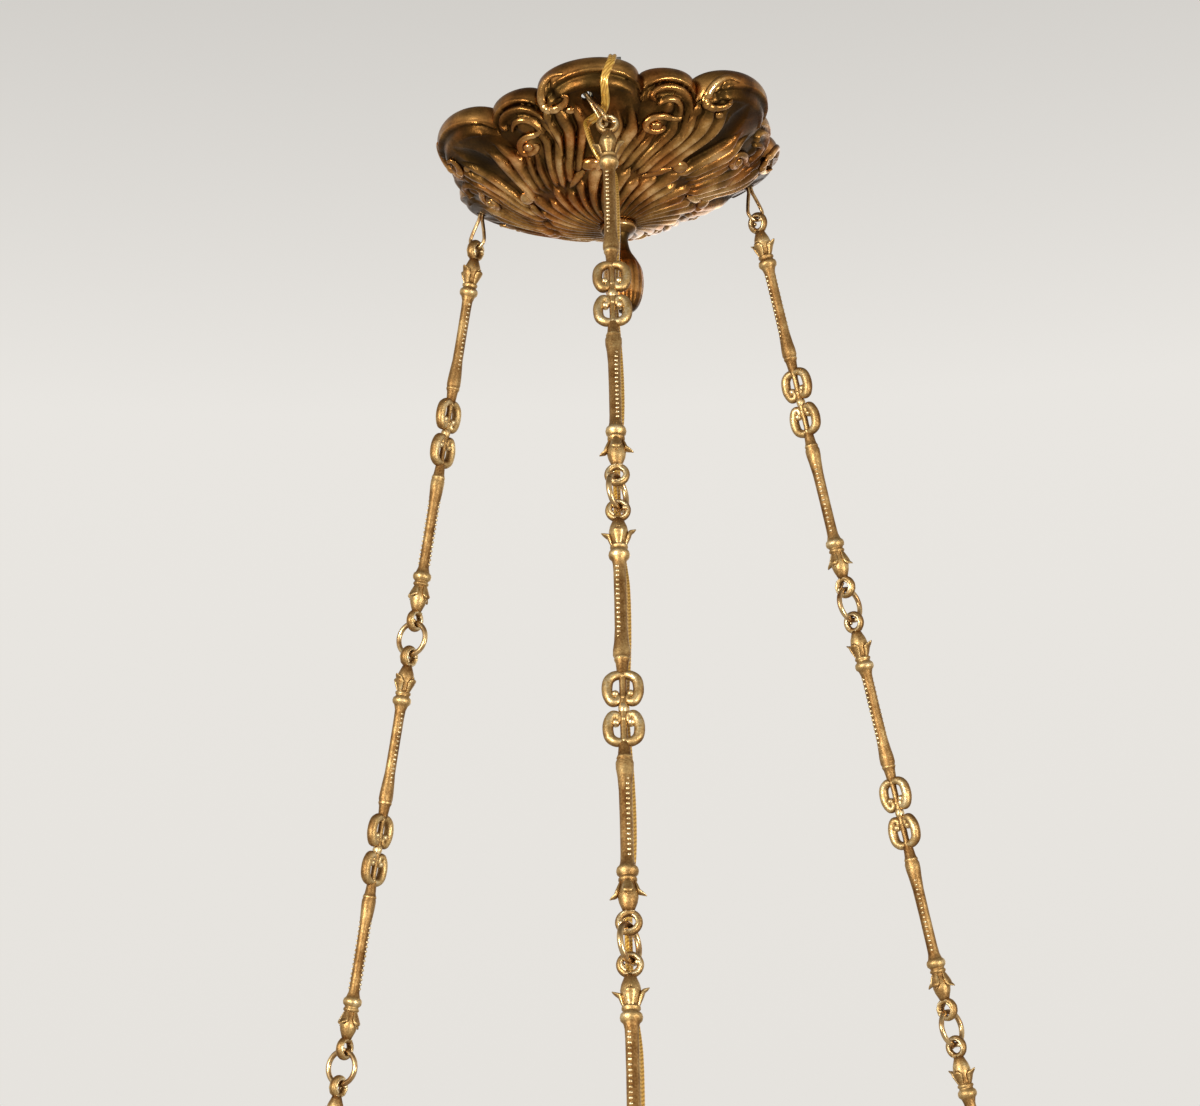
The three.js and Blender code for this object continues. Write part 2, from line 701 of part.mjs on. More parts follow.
const near = chains[0];
const lowerBlock = terminalWithScrews('lamp_terminal');
const [blockAcross, blockInward] = flexBelowLinks[flexBelowLinks.length - 1];
const lowerPlace = new THREE.Vector3(blockAcross, blockInward, -lowerBlockDrop - blockLength / 2);
lowerBlock.position.copy(lowerPlace.applyQuaternion(near.turn).add(near.start));
lowerBlock.quaternion.copy(near.turn).multiply(
  new THREE.Quaternion().setFromEuler(new THREE.Euler(Math.PI / 2, 0, 0)),
);
object.add(lowerBlock);

// The flex, one node for each stretch between two pieces that move apart.
const { points: flexPoints, meetings } = flexRoute(near);
const flexLine = new THREE.CatmullRomCurve3(flexPoints, false, 'centripetal');
flexLine.arcLengthDivisions = (flexPoints.length - 1) * stepsPerPoint;
const flexNames = ['ceiling', 'rim', 'link_1', 'ring_1', 'link_2', 'ring_2', 'link_3'];
const flexSteps = [7, 11, 22, 3, 22, 3, 21];
const flexPlaces = [0, ...meetings.map((index) => placeOnRoute(flexLine, index, flexPoints.length - 1)), 1];
flexNames.forEach((name, i) => {
  const stretch = new Stretch(flexLine, flexPlaces[i], flexPlaces[i + 1]);
  object.add(piece(`flex_${name}`, tube(stretch, flexSection(), flexSteps[i]), goldPlastic));
});

export default object;
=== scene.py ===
import math

import bmesh
import bpy
from mathutils import Matrix, Vector


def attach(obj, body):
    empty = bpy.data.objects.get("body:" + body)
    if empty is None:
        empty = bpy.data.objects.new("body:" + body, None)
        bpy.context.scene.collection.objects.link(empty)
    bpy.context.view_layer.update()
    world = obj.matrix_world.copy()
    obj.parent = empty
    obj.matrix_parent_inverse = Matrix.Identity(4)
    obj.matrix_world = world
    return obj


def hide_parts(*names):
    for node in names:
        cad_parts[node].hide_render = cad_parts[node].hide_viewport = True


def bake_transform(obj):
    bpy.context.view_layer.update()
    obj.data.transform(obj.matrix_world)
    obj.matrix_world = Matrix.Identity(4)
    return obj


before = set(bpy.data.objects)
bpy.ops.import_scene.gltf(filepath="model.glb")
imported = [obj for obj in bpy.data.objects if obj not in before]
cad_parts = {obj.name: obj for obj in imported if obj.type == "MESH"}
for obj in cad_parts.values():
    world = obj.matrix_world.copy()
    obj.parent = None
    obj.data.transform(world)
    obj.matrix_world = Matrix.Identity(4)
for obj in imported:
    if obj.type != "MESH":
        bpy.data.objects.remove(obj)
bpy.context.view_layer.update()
mm = 0.001

# Camera: below the canopy and a little to the right of the near chain, looking up at it.
# Its place was fitted to where the ends of the links show in the photograph, 1200 by 1106 pixels.
camera_place = Vector((44.56, -1764.89, -897.06)) * mm
camera_pitch = 0.32064
camera_yaw = 0.03294
camera_roll = -0.03068
focal_length_pixels = 3023.1
picture_width_pixels = 1200
ahead = Vector((
    -math.sin(camera_yaw) * math.cos(camera_pitch),
    math.cos(camera_yaw) * math.cos(camera_pitch),
    math.sin(camera_pitch),
))
level = Vector((math.cos(camera_yaw), math.sin(camera_yaw), 0))
raised = level.cross(ahead)
right = level * math.cos(camera_roll) + raised * math.sin(camera_roll)
up = raised * math.cos(camera_roll) - level * math.sin(camera_roll)
camera_data = bpy.data.cameras.new("camera")
camera_data.sensor_fit = "HORIZONTAL"
camera_data.lens = camera_data.sensor_width * focal_length_pixels / picture_width_pixels
camera_data.clip_start = 0.05
camera_data.clip_end = 60
camera = bpy.data.objects.new("camera", camera_data)
turned = Matrix((right, up, -ahead)).transposed()
camera.matrix_world = Matrix.Translation(camera_place) @ turned.to_4x4()
bpy.context.collection.objects.link(camera)
bpy.context.scene.camera = camera
bpy.context.scene.view_settings.view_transform = "Standard"

# How the lamp hangs: the canopy's tilt on its hook, its bowl, and the three sloping chains.
# The same lengths as the solids, in millimetres, so that each piece goes where its solid is.
pivot = Vector((0, 0, -20.475))
canopy_tilt = math.radians(3.5)
tilt = Matrix.Rotation(-canopy_tilt, 3, "Y")
canopy_radius = 114
bowl_radius = 109
seat_radius = 13
canopy_bottom = -90.5
bowl_top = -48
bowl_power = 1.15
hole_circle = 102.5
eye_drop = 24
chain_slope = math.radians(12)
link_pitch = 250
ring_to_ring = 23.6
link_step = link_pitch + ring_to_ring


def bowl_height(radius):
    share = max(radius - seat_radius, 0) / (bowl_radius - seat_radius)
    return canopy_bottom + (bowl_top - canopy_bottom) * share**bowl_power


def turn_about(axis, degrees):
    return Matrix.Rotation(math.radians(degrees), 3, axis)


def placed(place, turn):
    """Millimetres in a piece's own frame to metres in the scene."""
    return Matrix.Translation(Vector(place) * mm) @ turn.to_4x4() @ Matrix.Scale(mm, 4)


chains = {}
for name, azimuth, shift, lean, ring_twist, link_twist in (
    ("near", -90, -5.9, 28, -26, 0),
    ("left", 150, 0, 0, 0, 0),
    ("right", 30, 0, 0, 0, 20),
):
    toward = math.radians(azimuth + shift)
    hole = Vector((math.cos(toward), math.sin(toward), 0)) * hole_circle
    hole.z = bowl_height(hole_circle)
    hole = tilt @ (hole - pivot) + pivot
    turn = turn_about("Z", azimuth + 90) @ Matrix.Rotation(-chain_slope, 3, "X")
    eye_turn = turn @ turn_about("Y", -lean)
    start = hole + eye_turn @ Vector((0, 0, -eye_drop))
    chains[name] = {
        "hole": hole,
        "eye_turn": eye_turn,
        "start": start,
        "turn": turn,
        "link_turn": turn @ turn_about("Z", link_twist),
        "ring_turn": turn @ turn_about("Z", link_twist + ring_twist),
    }

# Twin flex: two copper cores side by side in clear, gold tinted PVC, extruded flat with a groove.
# It comes from the ceiling over the rim, left round the near wire eye and down behind the near links.
flex_width = 5.3
flex_thickness = 2.7
flex_gap = 0.3
from_ceiling = (
    (0, -42.3, -11.3), (0.2, -52, -11.8), (1.5, -68, -14.6), (4, -86, -19), (6, -98, -23),
    (6.8, -105, -25.8), (6.9, -110.8, -28.9), (6, -114.3, -34), (3.6, -114.8, -39.6),
    (1.6, -113.4, -45.6), (1.6, -109, -51.4), (1.6, -102.4, -55), (-1.4, -95.6, -59.2),
    (-6.6, -94.4, -62.2), (-10.3, -97.4, -67), (-9.9, -101, -73.4),
)
past_calyx = ((-9.3, 6.4, 11.5), (-5.6, 8.8, 18.5))
behind_link = (
    (-0.6, 10.4, 0), (0.4, 9.2, 15), (1.8, 8.9, 29), (3.2, 6.8, 44), (3.4, 6.5, 70), (2.6, 6.8, 92),
    (1.6, 6.2, 108), (1, 6.1, 125), (1.8, 6.5, 145), (2.8, 6.8, 165), (3.2, 7, 190),
    (2.6, 7.2, 208), (1.2, 8.9, 221), (-0.2, 9.2, 236), (-0.6, 10.5, 250), (-0.7, 11, 261.8),
)
below_links = ((-0.5, 10.6, 822), (0, 10, 834), (0, 9.8, 844.7))


def by_near_chain(across, inward, down):
    near = chains["near"]
    return near["turn"] @ Vector((across, inward, -down)) + near["start"]


route = [Vector(point) for point in from_ceiling]
route += [by_near_chain(*point) for point in past_calyx]
meetings = [6, 12]
for number in range(3):
    for across, inward, down in behind_link[2:] if number == 0 else behind_link:
        route.append(by_near_chain(across, inward, down + number * link_step))
        if down == 221 and number < 2:
            meetings.append(len(route) - 1)
    if number < 2:
        meetings.append(len(route) - 1)
route += [by_near_chain(*point) for point in below_links]


def through(points, per_span=12):
    """A smooth line through points, as many short steps, and where each point lies on it."""
    points = [Vector(point) for point in points]
    line = [points[0]]
    places = [0]
    for i in range(len(points) - 1):
        b, c = points[i], points[i + 1]
        a = points[i - 1] if i else b * 2 - c
        d = points[i + 2] if i + 2 < len(points) else c * 2 - b
        spans = [max(math.sqrt((q - p).length), 1e-6) for p, q in ((a, b), (b, c), (c, d))]
        at_b = (b - a) / spans[0] - (c - a) / (spans[0] + spans[1]) + (c - b) / spans[1]
        at_c = (c - b) / spans[1] - (d - b) / (spans[1] + spans[2]) + (d - c) / spans[2]
        at_b, at_c = at_b * spans[1], at_c * spans[1]
        for step in range(1, per_span + 1):
            t = step / per_span
            line.append(
                b * (2 * t**3 - 3 * t**2 + 1)
                + at_b * (t**3 - 2 * t**2 + t)
                + c * (3 * t**2 - 2 * t**3)
                + at_c * (t**3 - t**2)
            )
        places.append(len(line) - 1)
    return line, places


def frames_along(line, side, sizes=None):
    """A frame at each point of a line: Z along it, and X kept as near to side as the bends allow."""
    frames = []
    across = Vector(side)
    for i, point in enumerate(line):
        along = (line[min(i + 1, len(line) - 1)] - line[max(i - 1, 0)]).normalized()
        across = (across - along * across.dot(along)).normalized()
        size = sizes[i] if sizes else 1
        turn = Matrix((across, along.cross(across), along)).transposed().to_4x4()
        frames.append(Matrix.Translation(point) @ turn @ Matrix.Scale(size, 4))
    return frames


def add_part(bm, part):
    """Puts a small mesh into a bigger one, which is quicker than growing it there."""
    mesh = bpy.data.meshes.new("part")
    part.to_mesh(mesh)
    part.free()
    bm.from_mesh(mesh)
    bpy.data.meshes.remove(mesh)


def sweep(bm, outline, frames, wear_and_shading=None):
    """Carries a closed outline from frame to frame, with a cap at each end, and marks how rubbed it is and
    how much painted shade and highlight it takes.
    """
    part = bmesh.new()
    lay = part.verts.layers.float.new("wear_and_shading")
    ring = [part.verts.new(frames[0] @ Vector((x, y, 0))) for x, y in outline]
    for vert, value in zip(ring, wear_and_shading or []):
        vert[lay] = value
    edges = [part.edges.new((ring[i - 1], ring[i])) for i in range(len(ring))]
    bmesh.ops.edgeloop_fill(part, edges=edges)
    before = frames[0]
    for now in frames[1:]:
        grown = bmesh.ops.extrude_edge_only(part, edges=edges)["geom"]
        verts = [item for item in grown if isinstance(item, bmesh.types.BMVert)]
        rim = set(verts)
        edges = [e for e in grown if isinstance(e, bmesh.types.BMEdge) and set(e.verts) <= rim]
        bmesh.ops.transform(part, matrix=now @ before.inverted(), verts=verts)
        before = now
    bmesh.ops.edgeloop_fill(part, edges=edges)
    add_part(bm, part)


def finished(name, bm, material, matrix=None, smooth=True, angle=35):
    """Turns a bmesh into a scene object at the origin, with its faces outwards."""
    if matrix is not None:
        bmesh.ops.transform(bm, matrix=matrix, verts=bm.verts)
    bmesh.ops.recalc_face_normals(bm, faces=bm.faces)
    mesh = bpy.data.meshes.new(name)
    bm.to_mesh(mesh)
    bm.free()
    if smooth:
        mesh.shade_smooth()
        mesh.set_sharp_from_angle(angle=math.radians(angle))
    mesh.materials.append(material)
    piece = bpy.data.objects.new(name, mesh)
    bpy.context.collection.objects.link(piece)
    return piece


def colour(code):
    """An sRGB hex colour as linear RGBA."""
    parts = [int(code[i : i + 2], 16) / 255 for i in (1, 3, 5)]
    return [p / 12.92 if p <= 0.04045 else ((p + 0.055) / 1.055) ** 2.4 for p in parts] + [1]


def feed(tree, node, inputs):
    """Links a node's inputs to the outputs of others, or sets them to plain values."""
    for socket, value in inputs.items():
        if isinstance(value, bpy.types.NodeSocket):
            tree.links.new(value, node.inputs[socket])
        else:
            node.inputs[socket].default_value = value


def add_node(tree, kind, inputs=None, **settings):
    """Adds a node with its settings, and sets or links its inputs."""
    node = tree.nodes.new(kind)
    for setting, value in settings.items():
        setattr(node, setting, value)
    feed(tree, node, inputs or {})
    return node


def new_material(name):
    material = bpy.data.materials.new(name)
    material.use_nodes = True
    tree = material.node_tree
    return material, tree, tree.nodes["Principled BSDF"]


# Clear PVC lets the twisted copper show as fine slanting glints, 1.6 mm apart, under a soft gloss.
# At scale one the bands of the wave texture lie 0.314 of a unit apart.
gold_pvc, tree, shader = new_material("gold_tinted_pvc")
lay_pitch = 1.6 * mm
lay_slant = (0.5, 0.7, 0)
band_pitch = 0.314
at = add_node(tree, "ShaderNodeTexCoord").outputs["Object"]
lay = add_node(tree, "ShaderNodeMapping", {"Vector": at, "Rotation": lay_slant}).outputs["Vector"]
strands = add_node(
    tree,
    "ShaderNodeTexWave",
    {"Vector": lay, "Scale": band_pitch / lay_pitch, "Distortion": 1.2, "Detail": 1.0},
    bands_direction="Z",
)
copper = add_node(tree, "ShaderNodeValToRGB", {"Fac": strands.outputs["Fac"]})
copper.color_ramp.elements[0].color = colour("#A87420")
copper.color_ramp.elements[1].color = colour("#DDB04E")
grain = add_node(tree, "ShaderNodeTexNoise", {"Vector": at, "Scale": 1 / (2.2 * mm), "Detail": 3.0})
dents = add_node(
    tree, "ShaderNodeBump", {"Height": grain.outputs["Fac"], "Strength": 0.25, "Distance": 0.25 * mm}
)
feed(tree, shader, {
    "Base Color": copper.outputs["Color"],
    "Metallic": 0.45,
    "Roughness": 0.3,
    "Coat Weight": 0.6,
    "Coat Roughness": 0.12,
    "Normal": dents.outputs["Normal"],
})

core = flex_thickness / 2
core_place = flex_width / 2 - core
core_arc = 141
flex_outline = []
for side in (1, -1):
    for i in range(10):
        angle = math.radians(-core_arc + 2 * core_arc * i / 9)
        flex_outline.append((side * (core_place + core * math.cos(angle)), side * core * math.sin(angle)))

flex_line, flex_places = through(route)
flex_frames = frames_along(flex_line, (1, 0, 0))
flex_ends = [0] + [flex_places[i] for i in meetings] + [len(flex_line) - 1]
flex_stretches = (
    ("ceiling", "ceiling_fixing", "canopy_body", None),
    ("rim", "canopy_body", "near_eye", None),
    ("link_1", "near_eye", "near_link_1", 44),
    ("ring_1", "near_link_1", "near_ring_1", None),
    ("link_2", "near_ring_1", "near_link_2", 40),
    ("ring_2", "near_link_2", "near_ring_2", None),
    ("link_3", "near_ring_2", "near_link_3", 40),
)
for number, (name, above, below, bend) in enumerate(flex_stretches):
    first, last = flex_ends[number], flex_ends[number + 1]
    frames = flex_frames[first : last + 1]
    path = flex_line[first : last + 1]
    out = (path[1] - path[0]).normalized() * (flex_gap / 2)
    back = (path[-2] - path[-1]).normalized() * (flex_gap / 2)
    frames[0] = Matrix.Translation(out) @ frames[0]
    frames[-1] = Matrix.Translation(back) @ frames[-1]
    path = [path[0] + out] + path[1:-1] + [path[-1] + back]
    bm = bmesh.new()
    sweep(bm, flex_outline, frames)
    stretch = finished(f"gold_flex_{name}", bm, gold_pvc, Matrix.Scale(mm, 4), angle=50)
    path = [point * mm for point in path]
    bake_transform(stretch)
    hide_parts(f"flex_{name}")

# Plain pale studio: a matt floor well below the lamp, a pale surround and soft lamps.
# The surround is brightest at eye level and greyer overhead, as a lit room is.
floor_height = -2.5
floor_half_size = 40
floor_glow = 0.5
floor_bm = bmesh.new()
bmesh.ops.create_grid(floor_bm, x_segments=1, y_segments=1, size=floor_half_size)
pale_paint, tree, shader = new_material("matt_pale_floor_paint")
feed(tree, shader, {"Base Color": colour("#C9C5BE"), "Roughness": 0.85})


def shown_share(tree):
    """One where the camera sees a thing straight, mirrored or through glass, and zero for other light."""
    rays = add_node(tree, "ShaderNodeLightPath").outputs
    shown = rays["Is Camera Ray"]
    for ray in ("Is Glossy Ray", "Is Transmission Ray"):
        either = add_node(tree, "ShaderNodeMath", {0: shown, 1: rays[ray]}, operation="MAXIMUM")
        shown = either.outputs[0]
    return shown


paleness = add_node(tree, "ShaderNodeMath", {0: shown_share(tree), 1: floor_glow}, operation="MULTIPLY")
glow = add_node(
    tree, "ShaderNodeEmission", {"Color": colour("#D8D5CF"), "Strength": paleness.outputs[0]}
)
lit = add_node(tree, "ShaderNodeAddShader", {0: shader.outputs["BSDF"], 1: glow.outputs["Emission"]})
feed(tree, tree.nodes["Material Output"], {"Surface": lit.outputs["Shader"]})
floor = finished("floor", floor_bm, pale_paint, Matrix.Translation((0, 0, floor_height)), smooth=False)

studio = bpy.data.worlds.new("studio")
studio.use_nodes = True
bpy.context.scene.world = studio
tree = studio.node_tree
tree.nodes.clear()
direction = add_node(tree, "ShaderNodeTexCoord")
upward = add_node(tree, "ShaderNodeSeparateXYZ", {"Vector": direction.outputs["Generated"]})
surround = add_node(tree, "ShaderNodeValToRGB", {"Fac": upward.outputs["Z"]})
greys = surround.color_ramp.elements
greys[1].position = 0.75
greys[0].color, greys[1].color = colour("#E4E1DC"), colour("#8E8B86")
greys.new(0.36).color = colour("#E9E6E1")
plain = add_node(tree, "ShaderNodeBackground", {"Color": surround.outputs["Color"], "Strength": 1.0})
soft = add_node(tree, "ShaderNodeBackground", {"Color": surround.outputs["Color"], "Strength": 0.5})
mixed = add_node(
    tree, "ShaderNodeMixShader", {0: shown_share(tree), 1: soft.outputs[0], 2: plain.outputs[0]}
)
add_node(tree, "ShaderNodeOutputWorld", {"Surface": mixed.outputs[0]})


def soft_lamp(name, place, target, size, watts):
    data = bpy.data.lights.new(name, "AREA")
    data.shape = "SQUARE"
    data.size = size
    data.energy = watts
    lamp = bpy.data.objects.new(name, data)
    aim = (Vector(target) - Vector(place)).to_track_quat("-Z", "Y")
    lamp.matrix_world = Matrix.Translation(place) @ aim.to_matrix().to_4x4()
    bpy.context.collection.objects.link(lamp)


soft_lamp("key", (-1.2, -1.8, -0.5), (0, 0, -0.05), 0.35, 48)
soft_lamp("fill", (1.5, -1.5, -0.9), (0, 0, -0.15), 0.35, 30)
soft_lamp("back", (0.4, 1.9, 0.1), (0, 0, -0.3), 1.4, 6)

# Ceiling bar: a flat strip of zinc plated mild steel, sheared, drilled and screwed to the ceiling.
# Its edges are slightly rounded by tumbling, and the plating has a dull, cloudy spangle.
zinc_plate, tree, shader = new_material("zinc_plated_steel")
at = add_node(tree, "ShaderNodeTexCoord").outputs["Object"]
spangle = add_node(tree, "ShaderNodeTexVoronoi", {"Vector": at, "Scale": 1 / (4 * mm)}, feature="F1")
scuffs = add_node(tree, "ShaderNodeTexNoise", {"Vector": at, "Scale": 1 / (7 * mm), "Detail": 6.0})
cloud = add_node(
    tree, "ShaderNodeMix", {"Factor": 0.35, "A": scuffs.outputs["Fac"], "B": spangle.outputs["Distance"]}
)
tone = add_node(tree, "ShaderNodeValToRGB", {"Fac": cloud.outputs["Result"]})
tones = tone.color_ramp.elements
tones[0].position, tones[1].position = 0.25, 0.75
tones[0].color, tones[1].color = colour("#6E6B66"), colour("#A5A29B")
gloss = add_node(
    tree, "ShaderNodeMapRange", {"Value": scuffs.outputs["Fac"], "To Min": 0.32, "To Max": 0.55}
)
bump = add_node(
    tree, "ShaderNodeBump", {"Height": scuffs.outputs["Fac"], "Strength": 0.2, "Distance": 0.2 * mm}
)
feed(tree, shader, {
    "Base Color": tone.outputs["Color"],
    "Metallic": 1.0,
    "Roughness": gloss.outputs["Result"],
    "Normal": bump.outputs["Normal"],
})


def refined(name, node, material, body, bevel):
    """A copy of a plain solid, merged, with its flat faces whole and its sharp edges rounded."""
    bm = bmesh.new()
    bm.from_mesh(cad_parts[node].data)
    bmesh.ops.transform(bm, matrix=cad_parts[node].matrix_world, verts=bm.verts)
    bmesh.ops.remove_doubles(bm, verts=bm.verts, dist=0.02 * mm)
    bmesh.ops.dissolve_limit(
        bm, angle_limit=math.radians(2), verts=bm.verts, edges=bm.edges, use_dissolve_boundaries=False
    )
    sharp = [e for e in bm.edges if len(e.link_faces) == 2 and e.calc_face_angle() > math.radians(50)]
    bmesh.ops.bevel(
        bm, geom=sharp, offset=bevel * mm, offset_type="OFFSET", affect="EDGES", segments=2, profile=0.5,
        material=-1, clamp_overlap=True,
    )
    piece = finished(name, bm, material, angle=30)
    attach(piece, body)
    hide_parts(node)
    return piece


bar = refined("steel_ceiling_bar", "ceiling_bar", zinc_plate, "ceiling_fixing", 0.5)

# Ceiling hook: 5 mm steel wire, bent cold round a former and left open, with a flange welded on.
# The shank is pressed into the bar.
hook_wire = 5
hook_radius = 8.5
hook_neck = 7
bar_thickness = 5
hook_middle = -bar_thickness - hook_neck - hook_radius * 0.35
bend_start, bend_turn = 55, 230
hook_points = [Vector((0, 0, -2.3)), Vector((0, 0, -bar_thickness)), Vector((hook_radius * 0.12, 0, -8.5))]
for i in range(9):
    angle = math.radians(bend_start - bend_turn * i / 8)
    bend = Vector((hook_radius * math.cos(angle), 0, hook_radius * math.sin(angle)))
    hook_points.append(Vector((0, 0, hook_middle)) + bend)


def circle(diameter, sides):
    return [
        (diameter / 2 * math.cos(2 * math.pi * i / sides), diameter / 2 * math.sin(2 * math.pi * i / sides))
        for i in range(sides)
    ]


hook_line, _ = through(hook_points, 6)
bm = bmesh.new()
sweep(bm, circle(hook_wire, 20), frames_along(hook_line, (0, 1, 0)))
hook = finished("steel_ceiling_hook", bm, zinc_plate, Matrix.Scale(mm, 4), angle=60)


def spin_round(bm, geom, steps):
    """Spins an outline once about Z, with its last turn merged to its first."""
    bmesh.ops.spin(
        bm, geom=geom, cent=(0, 0, 0), axis=(0, 0, 1), angle=2 * math.pi, steps=steps,
        use_merge=True, use_duplicate=False,
    )


def turn_profile(bm, profile, sides):
    """Turns a line of radius and height pairs that starts and ends on Z, so that it closes itself."""
    verts = [bm.verts.new((radius, 0, height)) for radius, height in profile]
    edges = [bm.edges.new(pair) for pair in zip(verts, verts[1:])]
    spin_round(bm, verts + edges, sides)
    bmesh.ops.remove_doubles(bm, verts=bm.verts, dist=0.01)


bm = bmesh.new()
turn_profile(bm, [(0, -5.3), (5.6, -5.3), (6, -5.7), (6, -7.4), (5.6, -7.8), (0, -7.8)], 36)
flange = finished("hook_flange", bm, zinc_plate, Matrix.Scale(mm, 4))
for piece in (hook, flange):
    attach(piece, "ceiling_fixing")
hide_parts("ceiling_hook")

# Stem: a steel eye bolt, forged and zinc plated, with its eye on the hook.
# Its thread, of 1.25 mm pitch, takes the washer, the nut and the finial.
stem_eye_radius = 8
stem_eye_wire = 4
stem_eye_gap = 12
stem_radius = 4
thread_root_radius = 3.55
stem_top = pivot.z - stem_eye_radius
stem_bottom = -110.8
thread_pitch = 1.25
thread_top = -60


def hung():
    """The canopy's own frame, tilted about the hook."""
    about_hook = Matrix.Translation(pivot * mm) @ tilt.to_4x4() @ Matrix.Translation(-pivot * mm)
    return about_hook @ Matrix.Scale(mm, 4)


bm = bmesh.new()
eye_bottom = stem_top - stem_eye_radius
profile = [(0, eye_bottom), (stem_radius, eye_bottom), (stem_radius, thread_top)]
height = thread_top
while height - thread_pitch > stem_bottom + 1:
    profile += [(thread_root_radius, height - thread_pitch * 0.5), (stem_radius, height - thread_pitch)]
    height -= thread_pitch
profile += [(3.4, stem_bottom + 0.2), (3, stem_bottom), (0, stem_bottom)]
turn_profile(bm, profile, 28)
stem = finished("steel_stem", bm, zinc_plate, hung(), angle=60)
ring_line = [
    Vector((0, stem_eye_radius * math.cos(a), stem_top + stem_eye_radius * math.sin(a)))
    for a in (math.radians(stem_eye_gap / 2 - 90 + (360 - stem_eye_gap) * i / 64) for i in range(65))
]
bm = bmesh.new()
sweep(bm, circle(stem_eye_wire, 16), frames_along(ring_line, (1, 0, 0)))
stem_eye = finished("steel_stem_eye", bm, zinc_plate, hung(), angle=60)
for piece in (stem, stem_eye):
    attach(piece, "canopy_body")
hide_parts("stem")
for name in ("stem_washer", "stem_nut"):
    refined(f"steel_{name}", name, zinc_plate, "canopy_body", 0.35)

# Canopy: a bowl of cast bronze in the rococo taste, chased and mercury gilt.
# Wear has left the relief coppery and bright, and the hollows brown with old lacquer and soot.
# Its tone is also painted light: the deeper a place of the relief lies the darker it is painted, as shade,
# and the highest places take pale painted highlights.
lobe_count = 6
lobe_pitch = 360 / lobe_count
lobe_half_angle = 19
lobe_turn = -6
notch_radius = 95.5
small_lobe_radius = 102.5
notch_drop = 5.8
small_lobe_drop = 2.4


def cast_metal_with_wear_and_shading(name, patches, grain, tones, gloss, skin):
    """Cast metal whose tone and gloss follow how rubbed a place is, with painted shade in hollows and
    painted highlights on crests, unevenly, under a grainy skin.

    Patches and grain hold a size in millimetres, a detail, the part of the noise that counts, and how far
    it shifts the rubbing and painted shading. Gloss is the roughness of dull and of rubbed metal. Skin is a
    strength and a depth.
    """
    material, tree, shader = new_material(name)
    at = add_node(tree, "ShaderNodeTexCoord").outputs["Object"]
    wear_and_shading_level = add_node(tree, "ShaderNodeAttribute", attribute_name="wear_and_shading").outputs["Fac"]
    for size, detail, low, high, shift in (patches, grain):
        noise = add_node(tree, "ShaderNodeTexNoise", {
            "Vector": at, "Scale": 1 / (size * mm), "Detail": detail,
        })
        share = add_node(tree, "ShaderNodeMapRange", {
            "Value": noise.outputs["Fac"],
            "From Min": low,
            "From Max": high,
            "To Min": -shift,
            "To Max": shift,
        })
        added = add_node(tree, "ShaderNodeMath", {0: wear_and_shading_level, 1: share.outputs["Result"]}, operation="ADD")
        wear_and_shading_level = added.outputs[0]
    # The tone ramp runs from dark, brown lacquer and painted shade in the hollows, to pale, rubbed metal
    # and painted highlights on the crests.
    tone = add_node(tree, "ShaderNodeValToRGB", {"Fac": wear_and_shading_level})
    stops = tone.color_ramp.elements
    stops[0].position, stops[1].position = tones[0][0], tones[-1][0]
    stops[0].color, stops[1].color = colour(tones[0][1]), colour(tones[-1][1])
    for position, code in tones[1:-1]:
        stops.new(position).color = colour(code)
    dullness = add_node(tree, "ShaderNodeMapRange", {
        "Value": wear_and_shading_level, "From Min": 0.1, "From Max": 0.9, "To Min": gloss[0], "To Max": gloss[1],
    })
    bump = add_node(tree, "ShaderNodeBump", {
        "Height": noise.outputs["Fac"], "Strength": skin[0], "Distance": skin[1] * mm,
    })
    feed(tree, shader, {
        "Base Color": tone.outputs["Color"],
        "Metallic": 1.0,
        "Roughness": dullness.outputs["Result"],
        "Normal": bump.outputs["Normal"],
    })
    return material, tree, shader, at, tone.outputs["Color"]


gilt_bronze, tree, shader, at, gilt_tone_with_painted_shading = cast_metal_with_wear_and_shading(
    "worn_gilt_bronze_with_painted_shading",
    patches=(16, 4.0, 0.3, 0.7, 0.2),
    grain=(1.4, 5.0, 0, 1, 0.12),
    # The darkest stops are brown lacquer and painted shade, and the palest are painted highlights on the
    # crests.
    tones=((0.05, "#30220F"), (0.3, "#493417"), (0.5, "#745229"), (0.72, "#AF8147"), (0.98, "#F3CC90")),
    gloss=(0.46, 0.2),
    skin=(0.35, 0.3),
)
bloom = add_node(tree, "ShaderNodeTexNoise", {"Vector": at, "Scale": 1 / (26 * mm), "Detail": 3.0})
bloom_share = add_node(tree, "ShaderNodeMapRange", {
    "Value": bloom.outputs["Fac"], "From Min": 0.42, "From Max": 0.66, "To Min": 0.0, "To Max": 0.8,
})
coppery = add_node(
    tree,
    "ShaderNodeMix",
    {0: bloom_share.outputs["Result"], 6: gilt_tone_with_painted_shading, 7: colour("#F7CDB2")},
    data_type="RGBA",
    blend_type="MULTIPLY",
)
feed(tree, shader, {"Base Color": coppery.outputs[2]})


def ease(low, high, value):
    share = min(max((value - low) / (high - low), 0), 1)
    return share * share * (3 - 2 * share)


def scallop(angle):
    """How far the rim is drawn in and dips at an angle: wide lobes, and a narrow one between each two."""
    half_pitch = lobe_pitch / 2
    off = abs(((angle + 90 - lobe_turn) % lobe_pitch + 3 * half_pitch) % lobe_pitch - half_pitch)
    wide = off <= lobe_half_angle
    across = off / lobe_half_angle if wide else (half_pitch - off) / (half_pitch - lobe_half_angle)
    arch = math.sqrt(max(0, 1 - across**2))
    reach = (canopy_radius if wide else small_lobe_radius) - notch_radius
    rise = notch_drop - (0 if wide else small_lobe_drop)
    return canopy_radius - notch_radius - reach * arch, notch_drop - rise * arch


